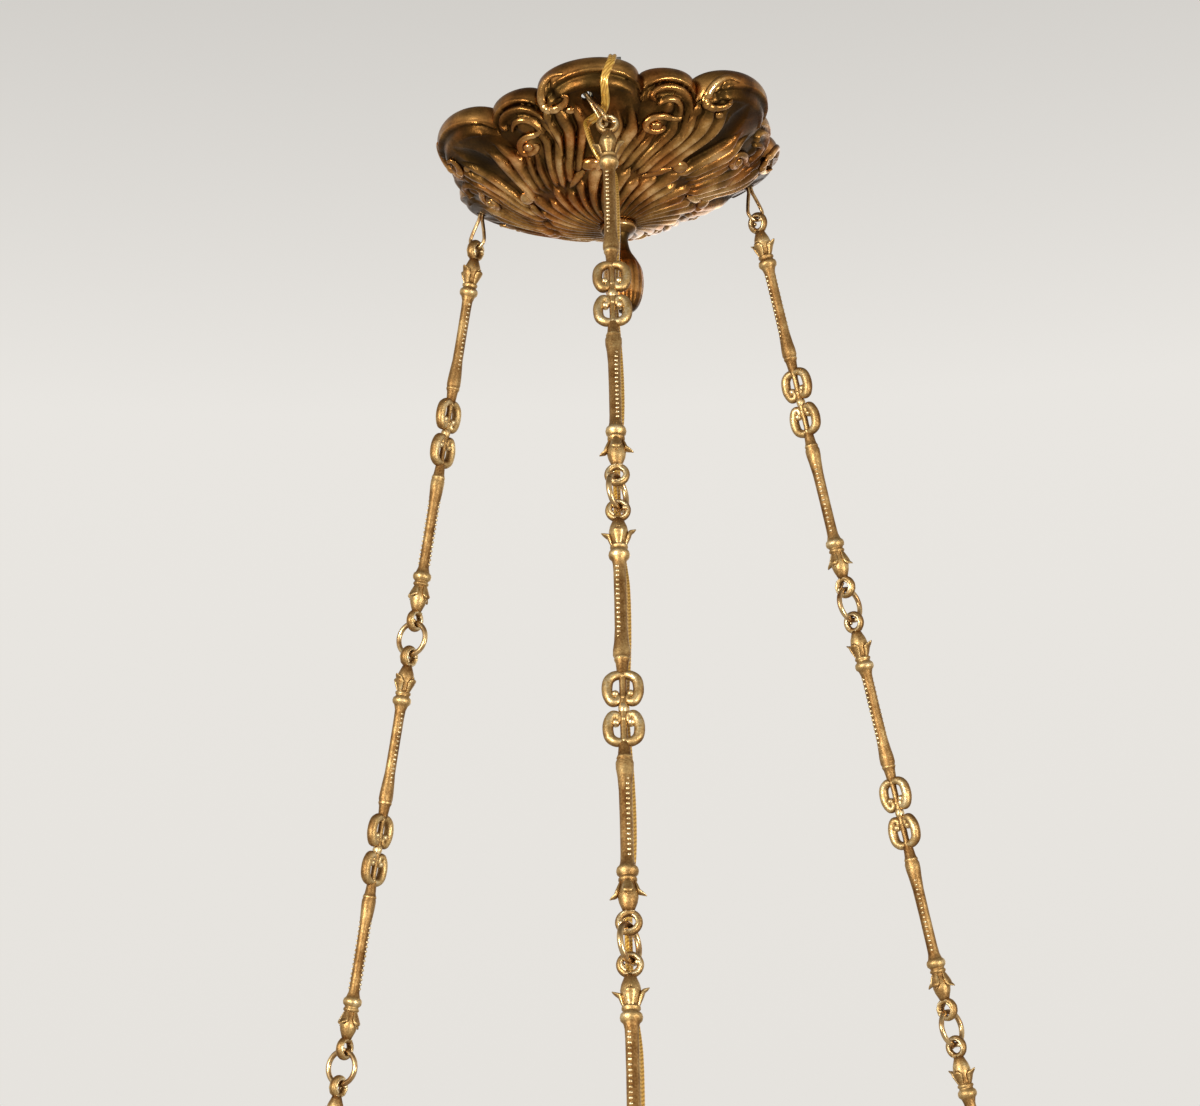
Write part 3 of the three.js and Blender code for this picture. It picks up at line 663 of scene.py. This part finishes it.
# The outside's line from the top of the rim down to the neck, as radius and height, and its length so far.
rim_points = ((107.5, -28, 0), (111.4, -29.6, 0), (114, -35, 0), (113.4, -40.4, 0), (109, -48, 0))
bowl_rows = 92
stem_bore_radius = 4.45
outside_line, _ = through(rim_points, 6)
for i in range(1, bowl_rows + 1):
    radius = bowl_radius + (seat_radius - bowl_radius) * i / bowl_rows
    outside_line.append(Vector((radius, bowl_height(radius), 0)))
outside_line.append(Vector((10.5, canopy_bottom, 0)))
outside_line.append(Vector((stem_bore_radius, canopy_bottom, 0)))
outside_reach = [0.0]
for a, b in zip(outside_line, outside_line[1:]):
    outside_reach.append(outside_reach[-1] + (b - a).length)


def on_line(down):
    """The point of the outside's line at a distance down from the rim, and which way it faces there."""
    i = next((k for k in range(1, len(outside_reach)) if outside_reach[k] >= down), len(outside_reach) - 1)
    a, b = outside_line[i - 1], outside_line[i]
    along = (b - a).normalized()
    facing = Vector((-along.y, along.x, 0))
    if facing.x < 0 and facing.y > 0:
        facing = -facing
    return a.lerp(b, (down - outside_reach[i - 1]) / (outside_reach[i] - outside_reach[i - 1])), facing


def in_lobes(angle, radius, height):
    """Draws a point of the plain bowl in and down between the lobes, most of all at the rim."""
    inset, dip = scallop(angle)
    outward = ease(0.52, 0.97, radius / canopy_radius)
    radius -= inset * outward
    angle = math.radians(angle)
    return Vector((radius * math.cos(angle), radius * math.sin(angle), height - dip * outward))


def on_outside(angle, down, proud=0.0):
    point, facing = on_line(down)
    point = point + facing * proud
    turn = math.radians(angle)
    facing = Vector((facing.x * math.cos(turn), facing.x * math.sin(turn), facing.y))
    return in_lobes(angle, point.x, point.y), facing


swirl_from = 50
swirl_length = 74
swirl_turn = 38


def swirl(down):
    """How far the ribs have turned round the bowl at a distance down from the rim, in degrees."""
    early = 2.5 * ease(20, swirl_from, down)
    return early - swirl_turn * (max(0, down - swirl_from) / swirl_length) ** 1.5


# One sixth of the relief, in degrees from the middle of a narrow lobe and millimetres down from the rim.
# A rib has the angle it starts from, where it starts and ends, its half width and how proud it stands.
# Points of a ribbon or trough hold an angle, a distance down and a half width.
upper_ribs = (
    (-22.4, 40, 92, 4.6, 3.3),
    (-15.6, 33, 90, 4.6, 3.3),
    (-9.6, 47, 91, 3.4, 2.2),
    (-3.6, 56, 93, 3.4, 2.0),
    (3.8, 33, 94, 3.4, 2.4),
    (9.8, 21, 97, 4.2, 3.3),
    (16.4, 28, 95, 4.4, 3.2),
    (22.8, 31, 90, 3.6, 2.6),
    (30.4, 24, 88, 6.4, -1.7),
)
lower_rib_pitch = 12
lower_rib_starts = (88, 95, 91, 84, 93)
outer_ribbon = (
    (-5.5, 26, 1.6), (-7, 22, 2.2), (-4.5, 18.8, 2.5), (0, 17.6, 2.7), (5.5, 19, 2.9), (9.4, 22.5, 3.0),
    (11.4, 27, 3.1), (13.2, 33, 3.2),
)
inner_ribbon = (
    (-3.6, 29.6, 1.5), (-1.6, 26.6, 2.1), (1.6, 25.4, 2.5), (4.6, 27.6, 2.7), (6.4, 32.5, 2.9), (7, 39, 3.0)
)
hook_trough = ((18.4, 14, 1.6), (17.9, 18, 2.4), (18.3, 22.5, 2.6), (19.8, 26, 2.2), (21, 26.4, 1.4))
swellings = (((0.8, 33), 5.5, 7.0, 1.6), ((-2.5, 48.5), 8.0, 9.0, 2.4), ((22.5, 81.5), 9.0, 8.0, 2.0))


def between(angle):
    """An angle as seen from the nearest of its repeats round the bowl: -30 to 30 degrees."""
    return (angle + lobe_pitch / 2) % lobe_pitch - lobe_pitch / 2


def rounded(across):
    """The height of a rib's section at a share of its half width: round on top, steep at the foot."""
    return max(0.0, 1 - across * across) ** 0.7


def leaning(across):
    """The same for an acanthus rib, which leans over: steep on one side and drawn out on the other."""
    lean = 0.38
    return rounded((across - lean) / (1 - lean if across > lean else 1 + lean))


curls_end = 56
curves = []
for points, height in ((outer_ribbon, 2.4), (inner_ribbon, 2.6), (hook_trough, -1.5)):
    line, _ = through(points, 5)
    curves.append((line, height))


def rolled_band(angle, down):
    """The rolled rim, with a groove and two lips along its foot, and the hollow of the lobe under it."""
    from_lobe = between(angle - lobe_pitch / 2)
    in_lobe = abs(from_lobe) < lobe_half_angle
    foot = 15 + 0.013 * (from_lobe - 4) ** 2 if in_lobe else 14 + 0.03 * angle**2
    roll = 1.1 * math.sin(math.pi * min(max(down / foot, 0), 1)) ** 0.5
    groove = 1.3 * rounded((down - foot - 0.9) / 1.5)
    lip = 0.7 * rounded((down - foot + 1.2) / 1.2)
    hollow = ease(foot, foot + 4, down) * (1 - ease(34, 60, down))
    inner_lip = 1.1 * leaning((down - foot - 6.2) / 3) * (abs(from_lobe) < lobe_half_angle - 3)
    return roll + lip + inner_lip - groove - hollow


def ribs_at(angle, down, radius):
    """How proud the ribs stand, how deep the smooth trough lies, and how near a rib's middle is."""
    degree = math.radians(radius)
    slope = (swirl(down + 1) - swirl(down - 1)) / 2 * degree
    square = 1 / math.sqrt(1 + slope**2)
    standing, scooped, nearest = 0.0, 0.0, 9.0
    for start, first, last, half, proud in upper_ribs:
        across = between(angle - start - swirl(down)) * degree * square
        if abs(across) < 2 * half:
            grown = ease(first - 3, first + 15, down) * (1 - ease(last - 9, last, down))
            width = half * (0.12 + 0.88 * grown) * (0.25 + 0.75 * radius / 88)
            if proud < 0:
                scooped = min(scooped, proud * grown * rounded(across / width))
                continue
            standing = max(standing, proud * grown * leaning(across / width))
            if grown > 0.3:
                nearest = min(nearest, abs(across) / width)
    for number, first in enumerate(lower_rib_starts):
        across = between(angle - number * lower_rib_pitch - swirl(down)) * degree * square
        half = math.radians(lower_rib_pitch) * radius * (0.4 + 0.1 * (number % 2)) * square
        grown = ease(first - 1, first + 6, down)
        tall = (0.8 + 2.2 * ease(8, 42, radius)) * grown
        standing = max(standing, tall * leaning(across / max(half * grown, 0.1)))
    return standing, scooped, nearest


def relief(angle, down):
    """How proud the relief stands at a place of one sixth of the bowl, in millimetres."""
    radius = on_line(down)[0].x
    degree = math.radians(radius)
    height = rolled_band(angle, down)
    standing, scooped, nearest = ribs_at(angle, down, radius)
    if down < curls_end:
        for line, proud in curves:
            for point in line:
                across = math.hypot(between(angle - point.x) * degree, down - point.y) / max(point.z, 0.3)
                if across < 1 and proud > 0:
                    standing = max(standing, proud * rounded(across))
                elif across < 1:
                    scooped = min(scooped, proud * rounded(across))
                if proud > 0:
                    nearest = min(nearest, across)
    for (middle, level), wide, tall, proud in swellings:
        away = math.hypot(between(angle - middle) * degree / wide, (down - level) / tall)
        height += proud * max(0.0, 1 - away * away) ** 1.5
    undercut = 0.6 * rounded((nearest - 1.3) / 0.5) if standing < 0.2 else 0
    return height + standing + scooped - undercut


sector_steps = 108
rows = []
for down in outside_reach:
    rows.append([relief(between(lobe_pitch * i / sector_steps), down) for i in range(sector_steps)])
narrow_lobe_middle = -66


def relief_at(angle, row):
    turned = (angle - narrow_lobe_middle) % lobe_pitch / lobe_pitch
    return rows[row][round(turned * sector_steps) % sector_steps]


wall_rise = 4.05
seat_height = -86.5
inside_line = [
    Vector(point) for point in ((103.8, -30.8, 0), (105, -33.2, 0), (110, -36.4, 0), (109.4, -41.6, 0))
]
for share in (0.98, 0.9, 0.8, 0.7, 0.6, 0.5, 0.4, 0.3, 0.2, 0.1, 0.03):
    radius = seat_radius + (bowl_radius - seat_radius) * share
    inside_line.append(Vector((radius, max(bowl_height(radius) + wall_rise, seat_height), 0)))
inside_line += [Vector((seat_radius, seat_height, 0)), Vector((stem_bore_radius, seat_height, 0))]
bm = bmesh.new()
row_layer = bm.verts.layers.int.new("row")
wear_and_shading_layer = bm.verts.layers.float.new("wear_and_shading")
# Each place of the outside is toned by how proud its relief stands: lower places darker, as lacquer in the
# hollows and painted shade, higher places paler, as rubbed metal and painted highlights. The rolled band is
# toned a little paler still, and the inside dark.
bowl_wear_and_shading, wear_and_shading_for_each_mm, least_wear_and_shading, inside_wear_and_shading = 0.4, 0.115, 0.16, 0.12
band_reach = 14
verts = []
outside_rows = list(enumerate(outside_line))
for row, point in list(reversed(outside_rows)) + [(-1, p) for p in inside_line]:
    vert = bm.verts.new((point.x, 0, point.y))
    vert[row_layer] = row
    verts.append(vert)
edges = [bm.edges.new((verts[i - 1], verts[i])) for i in range(len(verts))]
spin_round(bm, verts + edges, sector_steps * lobe_count)
for vert in bm.verts:
    x, y, z = vert.co
    angle = math.degrees(math.atan2(y, x))
    row = vert[row_layer]
    if row >= 0:
        height = relief_at(angle, row)
        vert.co, _ = on_outside(angle, outside_reach[row], height if row < len(outside_line) - 2 else 0)
        vert[wear_and_shading_layer] = max(least_wear_and_shading, bowl_wear_and_shading + wear_and_shading_for_each_mm * height)
        vert[wear_and_shading_layer] += 0.1 * (outside_reach[row] < band_reach)
    else:
        vert.co = in_lobes(angle, math.hypot(x, y), z)
        vert[wear_and_shading_layer] = inside_wear_and_shading
shell = finished("gilt_canopy_shell", bm, gilt_bronze, hung(), angle=75)

# The three holes for the wire eyes are drilled through the finished casting, each square to its eye.
drill_radius = 3.4
drill_length = 24
bm = bmesh.new()
for chain in chains.values():
    bmesh.ops.create_cone(
        bm, cap_ends=True, segments=28, radius1=drill_radius, radius2=drill_radius, depth=drill_length,
        matrix=Matrix.Translation(chain["hole"]) @ chain["eye_turn"].to_4x4(),
    )
drill = finished("drill", bm, gilt_bronze, Matrix.Scale(mm, 4))
cutting = shell.modifiers.new("holes", "BOOLEAN")
cutting.operation = "DIFFERENCE"
cutting.solver = "EXACT"
cutting.object = drill
drilled = bpy.data.meshes.new_from_object(shell.evaluated_get(bpy.context.evaluated_depsgraph_get()))
shell.modifiers.clear()
shell.data = drilled
bpy.data.objects.remove(drill)
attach(shell, "canopy_body")
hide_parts("canopy")

# Scrolls and bosses cast with the bowl, undercut and chased: the hooked end of each wide lobe's rolled rim,
# the curl under each narrow lobe, the rolled leaf edge and the bosses at the head of the lower ribs.
hook = (
    (23.4, 12.6, 1.2), (19.4, 10.8, 2.0), (15.8, 13.0, 2.6), (13.8, 18.0, 2.9), (13.6, 23.6, 2.9),
    (15.2, 28.8, 2.9), (18.4, 31.8, 2.7), (21.4, 30.8, 2.3), (22.8, 27.2, 1.8), (21.6, 24.4, 1.3),
)
curl = (
    (7.2, 37, 1.2), (3.6, 41.4, 2.2), (-0.6, 40.8, 2.6), (-5.2, 42.4, 2.7), (-7.4, 47.6, 2.7),
    (-5.8, 53.4, 2.6), (-1.8, 55.2, 2.3), (1.2, 52, 1.8), (0.2, 48.8, 1.3),
)
leaf_edge = ((-1.0, 95, 1.1), (5.5, 91.6, 2.8), (11.5, 88.2, 3.2), (17.5, 85, 1.8))
bosses = (((22.4, 38), 2.6, 1.3), ((22.5, 81.5), 4.8, 1.35), ((-2.8, 48.6), 3.1, 1.15))
sunk_share = 0.6
strand_flatness = 0.75


def strand(bm, points):
    """A tapering rounded rib along points of the canopy's outside: angle, distance down and half width."""
    line, _ = through(points, 6)
    placed_line, facings, sizes = [], [], []
    for angle, down, half in line:
        bed = relief(between(angle - narrow_lobe_middle), down) * sunk_share
        place, facing = on_outside(angle, down, bed + half * 0.1)
        placed_line.append(place)
        facings.append(facing)
        sizes.append(max(half, 0.3))
    frames = []
    for i, place in enumerate(placed_line):
        ends = placed_line[min(i + 1, len(placed_line) - 1)], placed_line[max(i - 1, 0)]
        along = (ends[0] - ends[1]).normalized()
        across = facings[i].cross(along).normalized()
        turn = Matrix((across, along.cross(across), along)).transposed().to_4x4()
        frames.append(Matrix.Translation(place) @ turn @ Matrix.Scale(sizes[i], 4))
    outline = [(x, y * strand_flatness) for x, y in circle(2, 12)]
    # Each strand is toned paler on its outer face than underneath: rubbed metal and painted highlight on
    # top, painted shade below.
    sweep(bm, outline, frames, [0.5 + 0.24 * y / strand_flatness for x, y in outline])


def boss(bm, lay, angle, down, size, stretch):
    """A rounded boss half sunk in the relief, drawn out along one side."""
    bed = relief(between(angle - narrow_lobe_middle), down) * sunk_share
    place, facing = on_outside(angle, down, bed)
    turn = facing.to_track_quat("Z", "Y").to_matrix().to_4x4()
    shape = Matrix.Translation(place) @ turn @ Matrix.Diagonal((size * stretch, size, size * 0.75, 1))
    for vert in bmesh.ops.create_icosphere(bm, subdivisions=3, radius=1, matrix=shape)["verts"]:
        # Each boss is toned pale, as rubbed metal and a painted highlight.
        vert[lay] = 0.72


scroll_bm = bmesh.new()
scroll_wear_and_shading = scroll_bm.verts.layers.float.new("wear_and_shading")
for lobe in range(lobe_count):
    middle = narrow_lobe_middle + lobe * lobe_pitch
    for line in (hook, curl, leaf_edge):
        strand(scroll_bm, [(middle + angle, down, half) for angle, down, half in line])
    for place, size, stretch in bosses:
        boss(scroll_bm, scroll_wear_and_shading, middle + place[0], place[1], size, stretch)
scrolls = finished("gilt_scrolls_and_bosses", scroll_bm, gilt_bronze, hung(), angle=75)
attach(scrolls, "canopy_body")

# Finial: a knob of turned bronze with shallow gadroons, gilt like the canopy.
# It is screwed on the stem and holds the canopy up against the washer and nut.
finial_top = -90.8
finial_length = 61
finial_thread_depth = 24
finial_shape = (
    (3.2, 0.995), (6.2, 0.965), (9.2, 0.9), (11.6, 0.79), (12.8, 0.64), (12.2, 0.52), (9.6, 0.42),
    (6.7, 0.33), (5.5, 0.24), (5.5, 0.18), (6.8, 0.125), (9.8, 0.09), (11.3, 0.065), (11.5, 0.04),
    (11.4, 0.01),
)
finial_line, _ = through([(r, finial_top - finial_length * share, 0) for r, share in finial_shape], 5)
profile = [(0, finial_top - finial_length)] + [(p.x, p.y) for p in finial_line]
thread_end = finial_top - finial_thread_depth
profile += [(10.8, finial_top), (stem_bore_radius, finial_top)]
profile += [(stem_bore_radius, thread_end), (0, thread_end)]
bm = bmesh.new()
turn_profile(bm, profile, 64)
finial_wear_and_shading = bm.verts.layers.float.new("wear_and_shading")
gadroons = 16
for vert in bm.verts:
    share = (finial_top - vert.co.z) / finial_length
    radius = math.hypot(vert.co.x, vert.co.y)
    outer = radius > 4.6
    cut = ease(0.42, 0.52, share) * (1 - ease(0.9, 0.97, share)) if outer else 0
    wave = abs(math.cos(gadroons / 2 * math.atan2(vert.co.y, vert.co.x)))
    grown = 1 - 0.045 * cut * (1 - wave) ** 2
    vert.co.x, vert.co.y = vert.co.x * grown, vert.co.y * grown
    # The widest swell and the gadroon crests are toned paler and the narrow neck darker: rubbed metal and
    # painted highlights, lacquer and painted shade.
    vert[finial_wear_and_shading] = 0.42 + 0.2 * cut * (wave - 0.6) + 0.25 * (radius > 11) - 0.15 * (radius < 7)
finial = finished("gilt_finial", bm, gilt_bronze, hung(), angle=50)
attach(finial, "canopy_body")
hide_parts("finial")

# Wire eyes: hard drawn brass wire bent to a pear, its two ends sprung open above the hole in the canopy.
# The top link hangs in the round foot. The wire is plain, rubbed bright and a little scratched.
brass_wire, tree, shader = new_material("drawn_brass_wire")
at = add_node(tree, "ShaderNodeTexCoord").outputs["Object"]
rubbed = add_node(tree, "ShaderNodeTexNoise", {"Vector": at, "Scale": 1 / (5 * mm), "Detail": 5.0})
tone = add_node(tree, "ShaderNodeValToRGB", {"Fac": rubbed.outputs["Fac"]})
tones = tone.color_ramp.elements
tones[0].position, tones[1].position = 0.3, 0.62
tones[0].color, tones[1].color = colour("#8C6238"), colour("#CDAF7E")
gloss = add_node(
    tree, "ShaderNodeMapRange", {"Value": rubbed.outputs["Fac"], "To Min": 0.42, "To Max": 0.22}
)
feed(tree, shader, {
    "Base Color": tone.outputs["Color"],
    "Metallic": 1.0,
    "Roughness": gloss.outputs["Result"],
})

eye_wire = 2.4
eye_foot = 5.5
eye_foot_height = -16.5
eye_leg = 1.4
half_eye = [
    (0, eye_leg + 2.4, 9.4), (0, eye_leg + 1.08, 9.8), (0, eye_leg + 0.5, 8.6), (0, eye_leg, 6.6),
    (0, eye_leg, -2.4), (0, eye_leg + 1.2, -6), (0, eye_foot - 0.6, eye_foot_height + 3.2),
]
for degrees in (0, 30, 60):
    angle = math.radians(degrees)
    half_eye.append((0, eye_foot * math.cos(angle), eye_foot_height - eye_foot * math.sin(angle)))
eye_points = half_eye + [(0, 0, eye_foot_height - eye_foot)]
eye_points += [(0, -across, height) for _, across, height in reversed(half_eye)]
eye_line, _ = through(eye_points, 8)
for name, chain in chains.items():
    bm = bmesh.new()
    sweep(bm, circle(eye_wire, 16), frames_along(eye_line, (1, 0, 0)))
    place = placed(chain["hole"], chain["eye_turn"])
    eye = finished(f"{name}_brass_wire_eye", bm, brass_wire, place, angle=60)
    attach(eye, f"{name}_eye")
    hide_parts(f"{name}_wire_eye")

# Links: sand cast brass, never polished, tan on the worn crests and rusty brown in the recesses, with
# painted shade in the recesses and painted highlights on the crests and beads.
# Each is one casting with an eye in a leafy cup at both ends and four C scrolls in the middle.
cast_brass, *_ = cast_metal_with_wear_and_shading(
    "aged_cast_brass_with_painted_shading",
    patches=(9, 5.0, 0, 1, 0.4),
    grain=(1.1, 4.0, 0, 1, 0.3),
    tones=((0.05, "#5A3318"), (0.28, "#74512A"), (0.5, "#997546"), (0.72, "#C09F68"), (0.95, "#E6CFA2")),
    gloss=(0.66, 0.4),
    skin=(0.55, 0.35),
)

eye_middle_radius = 5.4
eye_half_width = 1.9
eye_half_depth = 2.35
shaft_from, shaft_to = 34, 82
swelling_from, swelling_to = 84, 94
beads = 16
bead_pitch = 2.95
first_bead = 37.5


def ball(bm, lay, place, sizes, wear_and_highlight_level):
    """A small rounded bead or knob, toned by its level as rubbed metal with a painted highlight."""
    shape = Matrix.Translation(place) @ Matrix.Diagonal((*sizes, 1))
    for vert in bmesh.ops.create_icosphere(bm, subdivisions=2, radius=1, matrix=shape)["verts"]:
        vert[lay] = wear_and_highlight_level


def link_end(bm, lay):
    """The eye, leafy cup, collars and shaft of one end, from the eye's middle down to the motif."""
    before = set(bm.verts)
    section = [(eye_middle_radius + eye_half_width * x, 0, eye_half_depth * y) for x, y in circle(2, 14)]
    section = [bm.verts.new(point) for point in section]
    edges = [bm.edges.new((section[i - 1], section[i])) for i in range(len(section))]
    spin_round(bm, section + edges, 36)
    ring = [v for v in bm.verts if v not in before]
    # The eye is toned paler on its two flat faces than round its inner and outer edges: rubbed metal and
    # painted highlight, painted shade at the edges.
    for vert in ring:
        vert[lay] = 0.35 + 0.12 * abs(vert.co.z)
    bmesh.ops.rotate(bm, cent=(0, 0, 0), matrix=turn_about("X", 90), verts=ring)
    before = set(bm.verts)
    profile = [
        (0, -5.6), (2.8, -5.6), (3.7, -8), (4.9, -11), (5.5, -14), (5.2, -17), (4.3, -20), (3.9, -22),
        (4.1, -22.8), (5.0, -23.6), (5.0, -24.6), (4.3, -25.4), (4.5, -26.2), (5.7, -27.4), (6.05, -29),
        (5.7, -30.6), (4.5, -31.8), (4.1, -33), (3.7, -35), (3.5, -40), (3.45, -60), (3.6, -76),
        (4.1, -84), (4.5, -89), (4.55, -92.5), (4.1, -94.2), (4.45, -95), (4.1, -95.8), (3.6, -97),
        (3.3, -100), (3.0, -104), (0, -104),
    ]
    turn_profile(bm, profile, 24)
    for vert in (v for v in bm.verts if v not in before):
        radius = math.hypot(vert.co.x, vert.co.y)
        depth = -vert.co.z
        # Fuller parts are toned paler and narrow necks darker, with a pale collar 95 mm down, and the shaft
        # paler on its two sides than on its front and back: rubbed metal and painted highlights, brown
        # recesses and painted shade.
        vert[lay] = 0.42 + 0.13 * (radius - 3.6) + 0.2 * (94.6 < depth < 95.4)
        if shaft_from < depth < shaft_to:
            vert[lay] = 0.5 if abs(vert.co.x) > 0.7 * radius else 0.38
            vert.co.y *= 0.9
        if swelling_from < depth < swelling_to:
            vert.co.x *= 1.08
            vert.co.y *= 0.92
    for face in (-1, 1):
        spiral = []
        for i in range(11):
            angle = math.radians(-60 - 36 * i)
            radius = 6.3 - 2.0 * i / 10
            across, height = radius * math.cos(angle), radius * math.sin(angle)
            spiral.append(Vector((across * face, face * (2.1 - 0.03 * i), height)))
        sizes = [0.5 + 0.55 * math.sin(math.pi * min(i / 7, 1) * 0.6) for i in range(11)]
        outline = circle(2, 8)
        # The spiral is toned paler on its two broad sides and darker at its edges, partly as painted
        # highlight and shade; the knob and beads are toned pale as rubbed metal and painted highlights.
        sweep(bm, outline, frames_along(spiral, (0, 1, 0), sizes), [0.6 + 0.3 * abs(x) for x, y in outline])
        ball(bm, lay, Vector((-3.9 * face, 2.2 * face, 0.8)), (1.45, 1.2, 1.45), 0.85)
        for i in range(beads):
            place = Vector((face * 1.25, face * 3.0, -first_bead - bead_pitch * i))
            ball(bm, lay, place, (1.15, 0.75, 0.9), 0.92)
    for side, reach, lift in ((0, 9.7, 0), (180, 9.7, -1.6), (90, 6.9, -0.6), (270, 6.9, -0.6)):
        leaf = (
            (3.6, 0, -24), (4.6, 0, -20.5), (5.6, 0, -17.2), (6.6, 0, -15 + lift),
            (reach - 1.2, 0, -13.9 + lift), (reach, 0, -13 + lift),
        )
        line, _ = through(leaf, 4)
        widths, _ = through([(half, 0, 0) for half in (1.2, 2.3, 3.1, 2.7, 1.6, 0.5)], 4)
        frames = frames_along(line, (0, 1, 0), [w.x for w in widths])
        spread = turn_about("Z", side).to_4x4()
        outline = [(x, y * 0.42) for x, y in circle(2, 10)]
        # Each leaf is toned paler toward its margins and darker along its midline, partly as painted
        # highlight and shade.
        sweep(bm, outline, [spread @ f for f in frames], [0.45 + 0.3 * abs(x) for x, y in outline])


def scroll_quarter(bm, lay, side, up_side):
    """One C scroll of the motif: from the neck round the outside, and curled in beside the boss."""
    points = [
        ((1.0, 0, 20.4), 2.5), ((4.4, 0, 20.0), 2.9), ((7.4, 0, 17.6), 3.1), ((8.5, 0, 13.2), 3.2),
        ((8.1, 0, 8.4), 3.2), ((5.8, 0, 4.2), 3.0), ((3.2, 0, 4.4), 2.5), ((2.9, 0, 7.0), 2.2),
        ((4.2, 0, 8.6), 1.9),
    ]
    line, _ = through([(x * side, y, z * up_side) for (x, y, z), _ in points], 6)
    widths, _ = through([(half, 0, 0) for _, half in points], 6)
    frames = frames_along(line, (0, 1, 0), [w.x for w in widths])
    outline = [(x, y * 0.95) for x, y in circle(2, 14)]
    # The scroll is toned paler on its broad faces than at its edges, as rubbed metal and painted highlight,
    # with painted shade at the edges; its boss is toned pale.
    sweep(bm, outline, frames, [0.3 + 0.45 * abs(x) for x, y in circle(2, 14)])
    ball(bm, lay, line[-1], (2.4, 3.1, 2.4), 0.85)


link_bm = bmesh.new()
link_wear_and_shading = link_bm.verts.layers.float.new("wear_and_shading")
link_end(link_bm, link_wear_and_shading)
lower = bmesh.ops.duplicate(link_bm, geom=list(link_bm.verts) + list(link_bm.edges) + list(link_bm.faces))
lower = [item for item in lower["geom"] if isinstance(item, bmesh.types.BMVert)]
bmesh.ops.rotate(link_bm, cent=(0, 0, -link_pitch / 2), matrix=turn_about("Y", 180), verts=lower)
motif_bm = bmesh.new()
motif_wear_and_shading = motif_bm.verts.layers.float.new("wear_and_shading")
for side in (1, -1):
    for up_side in (1, -1):
        scroll_quarter(motif_bm, motif_wear_and_shading, side, up_side)
stem_outline = circle(2, 10)
stem_line = [Vector((0, 0, z)) for z in (21.5, 16, 8, 0, -8, -16, -21.5)]
stem_frames = frames_along(stem_line, (1, 0, 0), [2.4, 1.9, 2.0, 2.6, 2.0, 1.9, 2.4])
# The stem is toned paler on its broad faces, and the boss and knobs pale: rubbed metal and painted
# highlights.
sweep(motif_bm, stem_outline, stem_frames, [0.3 + 0.3 * abs(y) for x, y in stem_outline])
ball(motif_bm, motif_wear_and_shading, Vector((0, 0, 0)), (2.9, 3.3, 4.2), 0.8)
for height in (19.6, 6.5, -6.5, -19.6):
    ball(motif_bm, motif_wear_and_shading, Vector((0, 0, height)), (1.8, 2.5, 2.2), 0.7)
bmesh.ops.translate(motif_bm, vec=(0, 0, -link_pitch / 2), verts=motif_bm.verts)
add_part(link_bm, motif_bm)
link_mesh = bpy.data.meshes.new("link")
link_bm.to_mesh(link_mesh)
link_bm.free()
for name, chain in chains.items():
    for number in (1, 2, 3):
        bm = bmesh.new()
        bm.from_mesh(link_mesh)
        place = chain["start"] + chain["turn"] @ Vector((0, 0, -(number - 1) * link_step))
        link = finished(
            f"{name}_brass_link_{number}", bm, cast_brass, placed(place, chain["link_turn"]), angle=75
        )
        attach(link, f"{name}_link_{number}")
        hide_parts(f"{name}_link_{number}")
bpy.data.meshes.remove(link_mesh)

# Rings: 3.4 mm brass wire wound on a bar, sawn off turn by turn and closed to a hairline seam.
# Each joins the eyes of two links, and the seam has turned to another place on each.
ring_diameter = 24
ring_wire = 3.4
seam = 0.25
ring_radius = (ring_diameter - ring_wire) / 2
half_seam = seam / 2 / ring_radius
for name, chain in chains.items():
    for number in (1, 2, 3):
        seam_angle = math.radians(25 + 130 * number)
        arc = [seam_angle + half_seam + (2 * math.pi - 2 * half_seam) * i / 72 for i in range(73)]
        line = [Vector((0, ring_radius * math.cos(a), ring_radius * math.sin(a))) for a in arc]
        bm = bmesh.new()
        sweep(bm, circle(ring_wire, 16), frames_along(line, (1, 0, 0)))
        down = (number - 1) * link_step + link_pitch + ring_to_ring / 2
        place = chain["start"] + chain["turn"] @ Vector((0, 0, -down))
        place = placed(place, chain["ring_turn"])
        ring = finished(f"{name}_brass_ring_{number}", bm, brass_wire, place, angle=60)
        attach(ring, f"{name}_ring_{number}")
        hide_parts(f"{name}_ring_{number}")

# Terminal blocks: ivory urea plastic, moulded, each with two plated screws sunk in their wells.
# The upper one is screwed to the bar. The lower one hangs on the flex, where the lamp is wired in.
ivory_plastic, tree, shader = new_material("moulded_ivory_plastic")
at = add_node(tree, "ShaderNodeTexCoord").outputs["Object"]
ageing = add_node(tree, "ShaderNodeTexNoise", {"Vector": at, "Scale": 1 / (11 * mm), "Detail": 3.0})
tone = add_node(tree, "ShaderNodeValToRGB", {"Fac": ageing.outputs["Fac"]})
tones = tone.color_ramp.elements
tones[0].color, tones[1].color = colour("#C6B68F"), colour("#DDD2B6")
feed(tree, shader, {"Base Color": tone.outputs["Color"], "Roughness": 0.42})
for place, body in (("ceiling", "ceiling_fixing"), ("lamp", "near_link_3")):
    block = refined(f"{place}_plastic_block", f"{place}_terminal_block", ivory_plastic, body, 0.4)
    for screw in ("a", "b"):
        node = f"{place}_terminal_screw_{screw}"
        refined(f"steel_{node}", node, zinc_plate, body, 0.2)
refined("steel_block_screw", "ceiling_block_screw", zinc_plate, "ceiling_fixing", 0.25)
